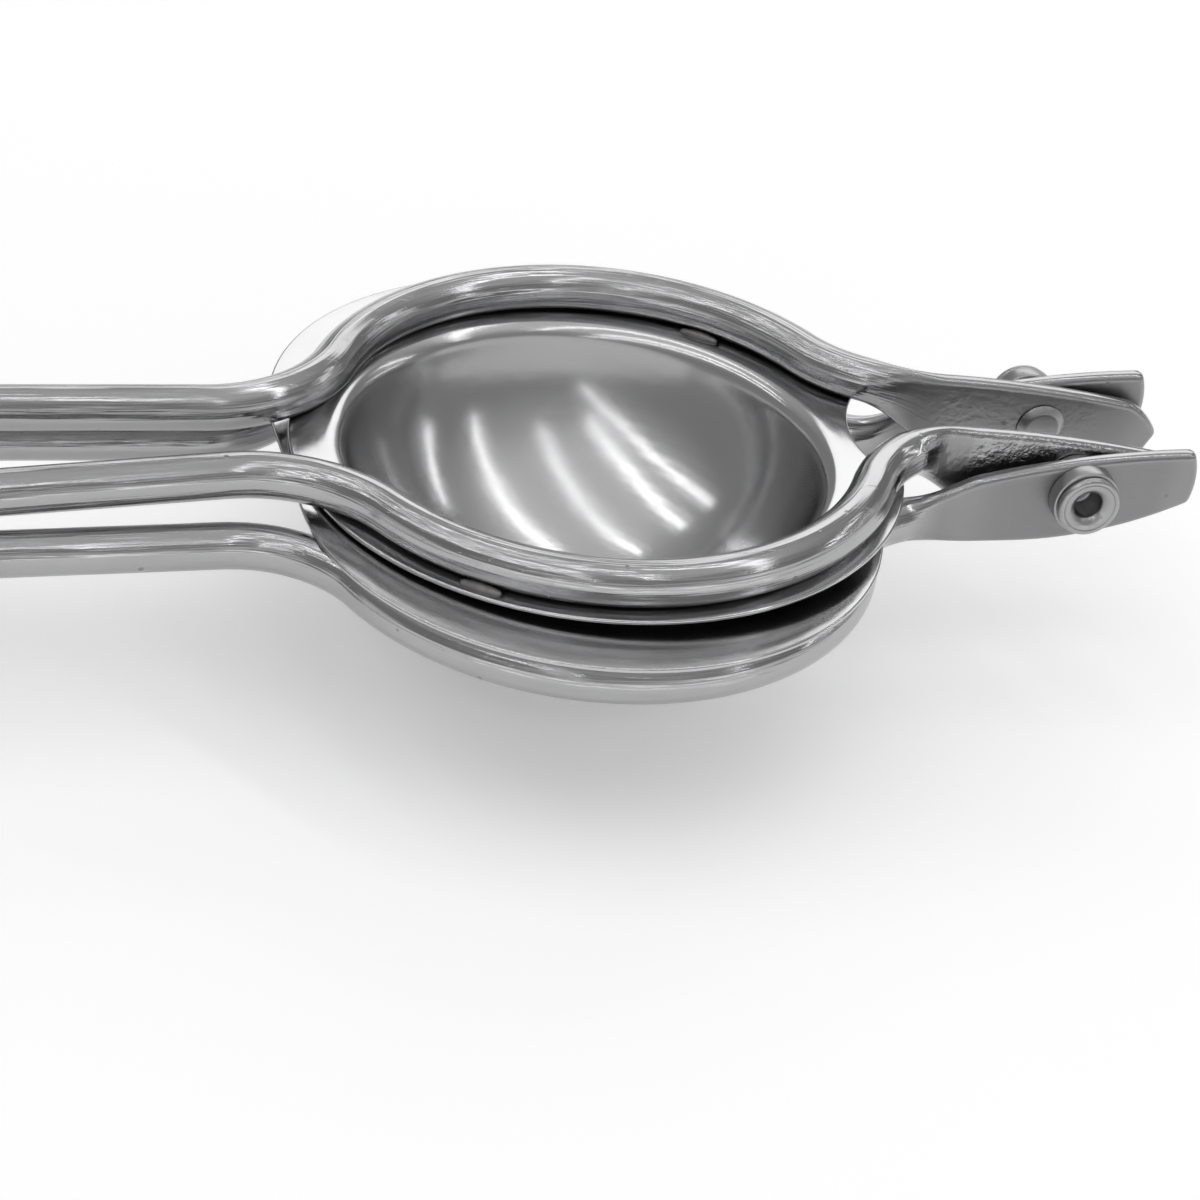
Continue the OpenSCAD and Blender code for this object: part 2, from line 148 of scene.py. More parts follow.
def attribute(tree, name, output="Fac"):
    """What a shader reads from a piece's own attribute."""
    return put(
        tree, "ShaderNodeAttribute", attribute_name=name, attribute_type="GEOMETRY"
    ).outputs[output]


def stored(tree, geometry, name, value, kind="FLOAT"):
    """Geometry whose points keep a value under a name."""
    return put(
        tree, "GeometryNodeStoreNamedAttribute",
        {"Geometry": geometry, "Name": name, "Value": value}, data_type=kind, domain="POINT",
    ).outputs["Geometry"]


MIX_SOCKETS = {"FLOAT": (2, 0), "VECTOR": (4, 1), "RGBA": (6, 2)}


def mixed(tree, kind, share, start, end):
    """A share of the way from one value, vector or colour to another."""
    first, result = MIX_SOCKETS[kind]
    return put(
        tree, "ShaderNodeMix", {0: share, first: start, first + 1: end}, data_type=kind
    ).outputs[result]


def cut_out(tree, mesh, cutter):
    """A mesh without the room that a cutter takes."""
    return put(
        tree, "GeometryNodeMeshBoolean", {"Mesh 1": mesh, "Mesh 2": cutter},
        operation="DIFFERENCE", solver="EXACT",
    ).outputs["Mesh"]


def ring_curve(tree, points):
    """A closed round curve with a radius of one."""
    return put(
        tree, "GeometryNodeCurvePrimitiveCircle", {"Resolution": points, "Radius": 1.0},
        mode="RADIUS",
    ).outputs["Curve"]


def path_curve(tree, given):
    """The polyline that a tree is given, as a curve."""
    return put(
        tree, "GeometryNodeMeshToCurve", {"Mesh": given.outputs["Geometry"]}
    ).outputs["Curve"]


def close_tree(tree, geometry, given, out):
    """Real geometry with its material, as the last step of a geometry tree."""
    real = put(
        tree, "GeometryNodeRealizeInstances", {"Geometry": geometry}
    ).outputs["Geometry"]
    real = put(
        tree, "GeometryNodeSetMaterial",
        {"Geometry": real, "Material": given.outputs["Material"]},
    ).outputs["Geometry"]
    tree.links.new(real, out.inputs["Geometry"])


# %% Run a tree, make faces and finish a mesh
def run_tree(made, tree, values):
    """Runs a geometry tree on an object and keeps only the plain mesh it gives."""
    modifier = made.modifiers.new(tree.name, "NODES")
    modifier.node_group = tree
    for item in tree.interface.items_tree:
        if item.item_type == "SOCKET" and item.in_out == "INPUT" and item.name in values:
            modifier[item.identifier] = values[item.name]
    graph = bpy.context.evaluated_depsgraph_get()
    mesh = bpy.data.meshes.new_from_object(made.evaluated_get(graph), depsgraph=graph)
    mesh.name = made.name
    made.modifiers.clear()
    made.data = mesh
    print(made.name, "has", len(mesh.vertices), "points and", len(mesh.polygons), "faces")
    return made


def ring_faces(rows, closed=False):
    """Faces between rows of points that go round, where a pole repeats one point."""
    faces = []
    for here, after in zip(rows, rows[1:] + rows[:1] if closed else rows[1:]):
        for k, n in enumerate([*range(1, len(here)), 0]):
            corners = [here[k], here[n], after[n], after[k]]
            corners = [c for i, c in enumerate(corners) if c not in corners[:i]]
            if len(corners) > 2:
                faces.append(corners)
    return faces


def volume(mesh):
    """Signed volume of a closed mesh, positive when its faces point outward."""
    mesh.calc_loop_triangles()
    points = np.empty(len(mesh.vertices) * 3)
    mesh.vertices.foreach_get("co", points)
    points = points.reshape(-1, 3)
    corners = np.empty(len(mesh.loop_triangles) * 3, dtype=np.int64)
    mesh.loop_triangles.foreach_get("vertices", corners)
    a, b, c = (points[corners.reshape(-1, 3)[:, k]] for k in range(3))
    return float(np.einsum("ij,ij->i", a, np.cross(b, c)).sum() / 6)


def finish_mesh(made, sharp=None):
    """Turns the faces outward, shades them smooth and keeps real corners sharp."""
    if volume(made.data) < 0:
        made.data.flip_normals()
    made.data.polygons.foreach_set("use_smooth", [True] * len(made.data.polygons))
    if sharp:
        made.data.set_sharp_from_angle(angle=math.radians(sharp))
    made.data.update()


# %% [markdown]
# ## The steel
# All pieces are stainless steel, so one shader group gives the marks that steel picks
# up: broad smudges, hair-fine scratches and sparse pits. It also passes from a polished
# to a duller finish where a piece is marked as dull. Each material places the group with
# its own strengths and keeps its own shader.

# %% Shader group: marks in steel
MARKS_ROUGHEN = 0.25
SMUDGE_LEVELS, SCRATCH_LEVELS = (0.38, 0.66), (0.66, 0.74)
PIT_CHOICE, PIT_R, PIT_SOFT = 0.72, 0.22, 0.08


def on_object(tree):
    return put(tree, "ShaderNodeTexCoord").outputs["Object"]


def soft_noise(tree, place, scale, detail=3.0, roughness=0.5):
    """Values of a noise at a place."""
    return put(
        tree, "ShaderNodeTexNoise",
        {"Vector": place, "Scale": scale, "Detail": detail, "Roughness": roughness},
    ).outputs["Fac"]


def steel_marks():
    tree, given, out = new_tree(
        "Steel marks",
        "ShaderNodeTree",
        {
            "Smudge Scale": 70.0, "Smudge": 0.1,
            "Scratch Scale": 1400.0, "Scratch": 0.3,
            "Pit Scale": 420.0, "Pit": 0.5,
            "Roughness": 0.1, "Dull Roughness": 0.3,
            "Light Tint": (0.7, 0.7, 0.71, 1.0),
            "Dull Tint": (0.4, 0.4, 0.41, 1.0),
            "Dark Tint": (0.5, 0.5, 0.51, 1.0),
        },
        {"Color": "Color", "Roughness": "Float", "Height": "Float"},
    )
    value = given.outputs
    maths = maths_in(tree)

    def cut(texture, low, high):
        """A texture's values from low to high, stretched to 0 and 1."""
        return put(
            tree, "ShaderNodeMapRange",
            {"Value": texture, "From Min": low, "From Max": high}, clamp=True,
        ).outputs["Result"]

    place = on_object(tree)
    smudge = soft_noise(tree, place, value["Smudge Scale"], detail=5.0, roughness=0.6)
    smudged = maths("MULTIPLY", cut(smudge, *SMUDGE_LEVELS), value["Smudge"])

    # Scratches are noise that is stretched along two directions and cut to thin lines
    lines = []
    for turn, stretch in (((0.2, 0.1, 0.5), (0.03, 1, 1)), ((0.9, 0.4, -0.35), (0.05, 1, 1))):
        bent = put(
            tree, "ShaderNodeMapping", {"Vector": place, "Rotation": turn, "Scale": stretch}
        ).outputs["Vector"]
        noise = soft_noise(tree, bent, value["Scratch Scale"], detail=2.0)
        lines.append(cut(noise, *SCRATCH_LEVELS))
    scratched = maths("MULTIPLY", maths("MAXIMUM", *lines), value["Scratch"])

    # Pits sit near the middles of a few of the cells
    cells = put(
        tree, "ShaderNodeTexVoronoi",
        {"Vector": place, "Scale": value["Pit Scale"], "Randomness": 1.0},
    )
    chosen = put(
        tree, "ShaderNodeSeparateColor", {"Color": cells.outputs["Color"]}
    ).outputs[0]
    width = maths("MULTIPLY", cut(chosen, PIT_CHOICE, 1.0), PIT_R)
    depth = maths("SUBTRACT", width, cells.outputs["Distance"])
    pitted = maths("MULTIPLY", cut(depth, 0.0, PIT_SOFT), value["Pit"])

    # The flat faces of the straps are duller and darker than the polished bar
    dull = attribute(tree, "dull")
    rough = mixed(tree, "FLOAT", dull, value["Roughness"], value["Dull Roughness"])
    clean = mixed(tree, "RGBA", dull, value["Light Tint"], value["Dull Tint"])

    # Marks are rough and sunk, and smudges and pits are also darker
    marks = maths("ADD", scratched, pitted)
    rougher = maths("ADD", smudged, maths("MULTIPLY_ADD", marks, MARKS_ROUGHEN, rough))
    darker = maths("ADD", pitted, smudged, use_clamp=True)
    tint = mixed(tree, "RGBA", darker, clean, value["Dark Tint"])
    tree.links.new(tint, out.inputs["Color"])
    tree.links.new(rougher, out.inputs["Roughness"])
    tree.links.new(maths("SUBTRACT", 0.0, marks), out.inputs["Height"])
    return tree


STEEL_MARKS = steel_marks()
print("steel group:", [item.name for item in STEEL_MARKS.interface.items_tree])


# %% [markdown]
# Each finish adds a relief of its own to the height of the marks. The bar was drawn
# through a die and polished along its length, so it carries long shallow waves and
# hairlines that follow the bar. The cups were pressed and spun, so slight waves cross
# them and faint rings run round them. The straps were hammered where the bar was squeezed.

# %% Reliefs that follow the bar, the sheet and the hammer
WAVE_STRETCH = (0.03, 0.8, 0.8)
HAIR_STRETCH = (0.06, 4.5, 4.5)
FORGED_AWAY = 0.85
BUMP_HEIGHT = 0.1 * MM


def add_up(tree, height, texture, amount):
    """Height plus a texture's value times an amount, which may be linked."""
    return maths_in(tree)("MULTIPLY_ADD", texture, amount, height)


def drawn_relief(tree, height, wave, hair):
    """Long waves and hairlines along a lever, in millimetres, nearly gone where forged."""
    grain, forged = attribute(tree, "grain", "Vector"), attribute(tree, "forged")
    for stretch, amount in ((WAVE_STRETCH, wave), (HAIR_STRETCH, hair)):
        along = put(
            tree, "ShaderNodeVectorMath", {0: grain, 1: stretch}, operation="MULTIPLY"
        ).outputs[0]
        noise = soft_noise(tree, along, 1.0, detail=2.0)
        left = maths_in(tree)("MULTIPLY_ADD", forged, -FORGED_AWAY * amount, amount)
        height = add_up(tree, height, noise, left)
    return height


def spun_relief(tree, height, scale, amount):
    """Rings round the cup's axis, slightly uneven as a spinning tool leaves them."""
    wave = put(
        tree, "ShaderNodeTexWave",
        {"Vector": on_object(tree), "Scale": scale, "Distortion": 0.3, "Detail": 1.0,
         "Detail Scale": 0.1},
        wave_type="RINGS", rings_direction="Z",
    ).outputs["Fac"]
    return add_up(tree, height, wave, amount)


def pressed_relief(tree, height, scale, amount):
    """Shallow waves that the press leaves in a sheet."""
    return add_up(tree, height, soft_noise(tree, on_object(tree), scale), amount)


def hammered_relief(tree, height, scale, amount):
    """Small dents, only where the lever is marked as hammered."""
    noise = soft_noise(tree, on_object(tree), scale)
    amount = maths_in(tree)("MULTIPLY", attribute(tree, "hammered"), amount)
    return add_up(tree, height, noise, amount)


# %% Steel materials
def steel(name, marks, depth, reliefs=()):
    """Metal with the steel group's marks at some depth, and the reliefs of its making."""
    material = bpy.data.materials.new(name)
    material.use_nodes = True
    tree = material.node_tree
    shader = tree.nodes["Principled BSDF"]
    shader.inputs["Metallic"].default_value = 1.0
    group = put(tree, "ShaderNodeGroup", node_tree=STEEL_MARKS)
    for key, value in marks.items():
        group.inputs[key].default_value = value
    height = maths_in(tree)("MULTIPLY", group.outputs["Height"], depth)
    for relief, *amounts in reliefs:
        height = relief(tree, height, *amounts)
    normal = put(
        tree, "ShaderNodeBump", {"Height": height, "Distance": BUMP_HEIGHT}
    ).outputs[0]
    tree.links.new(group.outputs["Color"], shader.inputs["Base Color"])
    tree.links.new(group.outputs["Roughness"], shader.inputs["Roughness"])
    tree.links.new(normal, shader.inputs["Normal"])
    return material


POLISHED = steel(
    "polished_bar",
    {"Smudge": 0.09, "Scratch": 0.3, "Pit": 0.6, "Roughness": 0.11,
     "Dull Roughness": 0.36, "Light Tint": (0.42, 0.42, 0.425, 1),
     "Dull Tint": (0.25, 0.25, 0.255, 1), "Dark Tint": (0.19, 0.19, 0.195, 1)},
    depth=0.3,
    reliefs=[(drawn_relief, 2.4, 0.32), (hammered_relief, 1000.0, 3.2)],
)
SATIN = steel(
    "pressed_sheet",
    {"Smudge": 0.05, "Smudge Scale": 45.0, "Scratch": 0.05, "Pit": 0.05,
     "Pit Scale": 260.0, "Roughness": 0.16, "Light Tint": (0.53, 0.53, 0.535, 1),
     "Dark Tint": (0.4, 0.4, 0.41, 1)},
    depth=0.1, reliefs=[(spun_relief, 300.0, 0.02), (pressed_relief, 90.0, 0.9)],
)
TUMBLED = steel(
    "hinge_steel",
    {"Smudge": 0.12, "Smudge Scale": 260.0, "Scratch": 0.3, "Pit": 0.6,
     "Pit Scale": 900.0, "Roughness": 0.28, "Light Tint": (0.38, 0.38, 0.385, 1),
     "Dark Tint": (0.3, 0.3, 0.305, 1)},
    depth=0.4,
)
# The weld beads' tints are dark as painted shade: they stand for the shade in the crevice
# between bar and flange where the beads lie.
WELD_IN_PAINTED_SHADE = steel(
    "weld_metal",
    {"Smudge": 0.2, "Smudge Scale": 700.0, "Scratch": 0.1, "Pit": 0.6,
     "Pit Scale": 1500.0, "Roughness": 0.48, "Light Tint": (0.27, 0.265, 0.26, 1),
     "Dark Tint": (0.16, 0.155, 0.15, 1)},
    depth=0.4,
)
print("materials:", [m.name for m in (POLISHED, SATIN, TUMBLED, WELD_IN_PAINTED_SHADE)])

# %% [markdown]
# ## The way a lever runs
# Seen from above, half a lever is a chain of tangent arcs and lines: the handle bend,
# the leg, the neck, half the ring and the last bend. The tangent points follow from the
# radii, so only the radii and a few distances are given. Each stop on the way carries
# its place and the direction across the bar.


# %% Follow the centre line
def toward(angle):
    return np.array([math.cos(angle), math.sin(angle)])


def arc_stops(centre, radius, start, end, spacing):
    """Places and across directions on an arc, angles in radians, end left out."""
    count = max(2, int(abs(end - start) * radius / spacing))
    turns = start + (end - start) * np.arange(count) / count
    outward = np.stack([np.cos(turns), np.sin(turns)], 1)
    sign = -1.0 if end > start else 1.0
    return [(centre + radius * o, sign * o) for o in outward]


GRIP_X, WAIST_X = 109.0, 50.0
SQUEEZE_LEN, SQUEEZE_STEP, THIN_SHARE = 13.0, 0.35, 0.6
EDGE_R = 1.05
LEG_SPACING = 0.9
BEND_SPACING, LAST_SPACING = LEG_SPACING * 0.8, LEG_SPACING * 0.6


def way(lever):
    """Stops of half a lever: place, across and distance past the last bend, or none."""
    ring_c = np.array([lever["ring_x"], lever["ring_y"]])
    ring_r, neck_r, bend_r = lever["ring_r"], lever["neck_r"], lever["bend_r"]
    slope = (lever["grip"] - lever["waist"]) / (GRIP_X - WAIST_X)
    lean = math.atan(slope)
    grip_r = lever["grip"] * math.cos(lean)
    grip_c = np.array([-GRIP_X, 0.0])
    line_y = lever["waist"] - slope * WAIST_X + neck_r / math.cos(lean)
    reach = neck_r + ring_r
    gap = line_y - ring_c[1]
    a, b = 1 + slope * slope, -2 * (ring_c[0] + slope * gap)
    c = ring_c[0] ** 2 + gap * gap - reach * reach
    neck_x = (-b - math.sqrt(b * b - 4 * a * c)) / (2 * a)
    neck_c = np.array([neck_x, line_y - slope * neck_x])
    bend_y = lever["strap_y"] + bend_r
    rise = bend_y - ring_c[1]
    bend_c = np.array([ring_c[0] + math.sqrt((bend_r + ring_r) ** 2 - rise * rise), bend_y])
    neck_a = math.atan2(*(neck_c - ring_c)[::-1])
    bend_a = math.atan2(*(bend_c - ring_c)[::-1])
    right = math.pi / 2

    start = grip_c + grip_r * toward(right - lean)
    end = neck_c - neck_r * toward(right - lean)
    count = int(np.linalg.norm(end - start) / LEG_SPACING)
    across = np.array([math.sin(lean), math.cos(lean)])
    stops = arc_stops(grip_c, grip_r, math.pi, right - lean, BEND_SPACING)
    stops += [(start + (end - start) * k / count, across) for k in range(count)]
    stops += arc_stops(neck_c, neck_r, -right - lean, neck_a - math.pi, BEND_SPACING)
    stops += arc_stops(ring_c, ring_r, neck_a, bend_a, BEND_SPACING)
    squeeze_a = 1.5 * math.pi - lever["squeeze_at"] / bend_r
    stops += arc_stops(bend_c, bend_r, math.pi + bend_a, squeeze_a, LAST_SPACING)
    stops = [(place, side, None) for place, side in stops]
    for left in np.arange(lever["squeeze_at"], 0, -SQUEEZE_STEP):
        side = np.array([math.sin(left / bend_r), math.cos(left / bend_r)])
        stops.append((bend_c - bend_r * side, side, -left))
    for past in np.arange(0, SQUEEZE_LEN - lever["squeeze_at"] - 0.01, SQUEEZE_STEP):
        place = np.array([bend_c[0] + past, lever["strap_y"]])
        stops.append((place, np.array([0.0, 1.0]), past))
    return stops, bend_c[0]


PRESS = dict(
    ring_x=1.8, ring_y=0.0, ring_r=38.9, neck_r=22.0, bend_r=20.0, waist=8.5, grip=12.4,
    strap_y=PRESS_STRAP_Y, squeeze_at=11.5, bar_z=BAR_R + SEAT_GAP, hinge=PRESS_PIVOT,
)
STRAINER = dict(
    ring_x=-1.5, ring_y=10.5, ring_r=37.2, neck_r=18.0, bend_r=12.0, waist=13.6, grip=15.2,
    strap_y=STRAINER_STRAP_Y, squeeze_at=4.0, bar_z=STRAINER_DEPTH - SEAT_GAP - BAR_R,
    hinge=(PIVOT_X, PIVOT_Z),
)
for lever in (PRESS, STRAINER):
    lever["stops"], lever["bend_x"] = way(lever)
    print("half a lever has", len(lever["stops"]), "stops up to x =", lever["bend_x"])

# %% [markdown]
# ## The strap's outline
# Seen from the side, a strap is bounded by a few circles and one cut. The outline is
# sampled finely, its corners are worn round by averaging, and it is split at the tip
# into an upper and a lower edge, from which the flat end of the bar is built.


# %% Draw the strap outlines
OUTLINE_POINTS, EVEN_POINTS, WEAR_WINDOW = 4000, 2400, 41


def circle_z(centre, radius, x, sign):
    """Height of a circle's upper or lower half at x, or of its centre beyond it."""
    square = radius**2 - (x - centre[0]) ** 2
    return centre[1] + sign * np.sqrt(np.maximum(square, 0.0))


def ended(base, end_c, end_r, x, sign):
    """A strap's edge that follows the round of its end once it is past that centre."""
    nearer = np.minimum if sign > 0 else np.maximum
    return np.where(x > end_c[0], nearer(base, circle_z(end_c, end_r, x, sign)), base)


def press_edges(start):
    """Upper and lower edge heights of a press strap, from the hinge axis."""
    bow_r, lean = 194.0, math.radians(11)
    bow_c = (-bow_r * math.sin(lean), -bow_r * math.cos(lean))
    end_c, end_r = (8.5, -6.8), 11.2
    cut_low, cut_high = (15.6, -7.5), (18.9, -1.7)
    cut_slope = (cut_high[1] - cut_low[1]) / (cut_high[0] - cut_low[0])
    heel, heel_slope = (9.5, -8.0), 0.36
    reach, tip = 18.67, (17.4, -4.3)

    def top(x):
        return ended(circle_z(bow_c, bow_r + STRAP_H / 2, x, 1), end_c, end_r, x, 1)

    def low(x):
        base = circle_z(bow_c, bow_r - STRAP_H / 2, x, 1)
        worn_heel = heel[1] + (x - heel[0]) * heel_slope
        cut = cut_high[1] + (x - cut_high[0]) * cut_slope
        return np.maximum(np.maximum(base, worn_heel), cut)

    return top, low, np.linspace(start, reach, OUTLINE_POINTS), tip


def strainer_edges(start):
    """Upper and lower edge heights of a strainer strap, from the hinge axis."""
    above, below = 0.42 * STRAP_H, 0.67 * STRAP_H
    crown_x, crown_r, heel_x, heel_r = 16.8, 142.0, -9.0, 60.0
    crown = (crown_x, above - math.sqrt(crown_r**2 - crown_x**2))
    heel = (heel_x, heel_r - below)
    end_c, end_r = (5.5, 1.3), 12.0
    tip = (end_c[0] + end_r, end_c[1])

    def top(x):
        return ended(circle_z(crown, crown_r, x, 1), end_c, end_r, x, 1)

    def low(x):
        base = np.where(x < heel_x, -below, circle_z(heel, heel_r, x, -1))
        return ended(base, end_c, end_r, x, -1)

    shares = np.sin(np.linspace(0, math.pi / 2, OUTLINE_POINTS))
    return top, low, start + (tip[0] - start) * shares, tip


def even(line, count):
    """A polyline resampled to evenly spaced points."""
    steps = np.r_[0, np.cumsum(np.linalg.norm(np.diff(line, axis=0), axis=1))]
    at = np.linspace(0, steps[-1], count)
    return np.stack([np.interp(at, steps, line[:, k]) for k in range(line.shape[1])], 1)


def worn(line, window):
    """A polyline whose corners are averaged round, with its ends kept."""
    pad = window // 2
    padded = np.r_[
        2 * line[0] - line[pad:0:-1], line, 2 * line[-1] - line[-2:-pad - 2:-1]
    ]
    kernel = np.ones(window) / window
    return np.stack([np.convolve(padded[:, k], kernel, "valid") for k in (0, 1)], 1)


def strap_sides(edges, start, count):
    """Upper and lower edge points of a strap with their inward directions."""
    top, low, x, tip = edges(start)
    upper = np.stack([x, top(x)], 1)
    lower = np.stack([x, low(x)], 1)
    whole = worn(even(np.r_[upper, lower[::-1][1:]], EVEN_POINTS), WEAR_WINDOW)
    split = int(np.argmin(np.linalg.norm(whole - np.array(tip), axis=1)))
    sides = []
    for line, sign in ((whole[: split + 1], 1), (whole[split:][::-1], -1)):
        line = even(line, count)
        ahead = np.gradient(line, axis=0)
        ahead /= np.linalg.norm(ahead, axis=1)[:, None]
        inward = sign * np.stack([ahead[:, 1], -ahead[:, 0]], 1)
        sides.append((line, inward))
    tip_in = sides[0][1][-1] + sides[1][1][-1]
    tip_in /= np.linalg.norm(tip_in)
    for line, inward in sides:
        inward[-1] = tip_in
    return sides, top, low


# %% [markdown]
# ## Sections along the bar
# At every stop the section is described by its top and bottom point, the directions that
# lead inward from them, half its thickness, the roundness of its edges and how far it is
# squeezed. A round bar and a flat strap are the two ends of one description.


# %% List the sections of half a lever
def ease(share):
    share = min(1.0, max(0.0, share))
    return share * share * (3 - 2 * share)


def rising(x, none, full):
    """Share that rises from 0 at one place along the part to 1 at another."""
    return ease((x - none) / (full - none))


def leaning_in(edge, x, share, sign):
    """Direction into the strap from its edge, leaning with the edge as it is squeezed."""
    slope = float(edge(x + 0.01) - edge(x - 0.01)) / 0.02 * share
    return tuple(np.array([-sign * slope, 0.0, sign]) / math.hypot(slope, 1.0))


def sections(lever, edges, strap_count=64):
    """One row of section values for each stop of half a lever."""
    hinge_x, hinge_z = lever["hinge"]
    squeeze_at = lever["squeeze_at"]
    strap_start = lever["bend_x"] + SQUEEZE_LEN - squeeze_at
    sides, top, low = strap_sides(edges, strap_start - hinge_x, strap_count)
    rows = []
    for place, side, past in lever["stops"]:
        share = 0.0 if past is None else (past + squeeze_at) / SQUEEZE_LEN
        w = ease(share)
        x = np.array(place[0] - hinge_x)
        high = lever["bar_z"] + BAR_R
        deep = lever["bar_z"] - BAR_R
        top_in, low_in = (0.0, 0.0, -1.0), (0.0, 0.0, 1.0)
        if w > 0:
            high += (float(top(x)) + hinge_z - high) * w
            deep += (float(low(x)) + hinge_z - deep) * w
            top_in = leaning_in(top, x, w, -1.0)
            low_in = leaning_in(low, x, w, 1.0)
        half = BAR_R + (STRAP_T / 2 - BAR_R) * ease(share / THIN_SHARE)
        rows.append((
            (place[0], place[1], high), (place[0], place[1], deep),
            top_in, low_in, (side[0], side[1], 0),
            half, min(half, half + (EDGE_R - half) * w), w,
        ))
    (upper, upper_in), (lower, lower_in) = sides
    for k in range(strap_count):
        rows.append((
            (upper[k, 0] + hinge_x, lever["strap_y"], upper[k, 1] + hinge_z),
            (lower[k, 0] + hinge_x, lever["strap_y"], lower[k, 1] + hinge_z),
            (upper_in[k, 0], 0, upper_in[k, 1]), (lower_in[k, 0], 0, lower_in[k, 1]),
            (0, 1, 0), STRAP_T / 2, EDGE_R, 1.0,
        ))
    return rows


SECTION_VALUES = (
    ("top", "FLOAT_VECTOR"), ("low", "FLOAT_VECTOR"), ("top_in", "FLOAT_VECTOR"),
    ("low_in", "FLOAT_VECTOR"), ("across", "FLOAT_VECTOR"), ("half", "FLOAT"),
    ("edge", "FLOAT"), ("forged", "FLOAT"),
)


def lever_path(name, rows):
    """A polyline that carries one section's values at each of its points."""
    middles = [(np.array(row[0]) + np.array(row[1])) / 2 for row in rows]
    path = piece(name, middles, edges=[(k, k + 1) for k in range(len(rows) - 1)])
    for column, (label, kind) in enumerate(SECTION_VALUES):
        data = path.data.attributes.new(label, kind, "POINT").data
        values = np.array([row[column] for row in rows], dtype=np.float32).ravel()
        data.foreach_set("vector" if kind == "FLOAT_VECTOR" else "value", values)
    steps = np.linalg.norm(np.diff(middles, axis=0), axis=1)
    run = path.data.attributes.new("run", "FLOAT", "POINT").data
    run.foreach_set("value", np.r_[0, np.cumsum(steps)].astype(np.float32))
    return path


# %% [markdown]
# ## The lever's node tree
# Geometry Nodes sweep a ring of points along the path, and then move each point to its
# place on the section: on a circle where the bar is round, on a rounded strap where it is
# flat, and between the two where it is squeezed. The half is mirrored and welded, dents
# are pressed into the forged part, and the rivet's bore is cut.


# %% Build the lever tree
INNER_HIT, HAMMER_SHINE, DULL_SOONER = 0.3, 0.8, 1.6
WELD_DISTANCE, DRILL_LEN, DRILL_SIDES = 0.002, 60.0, 64


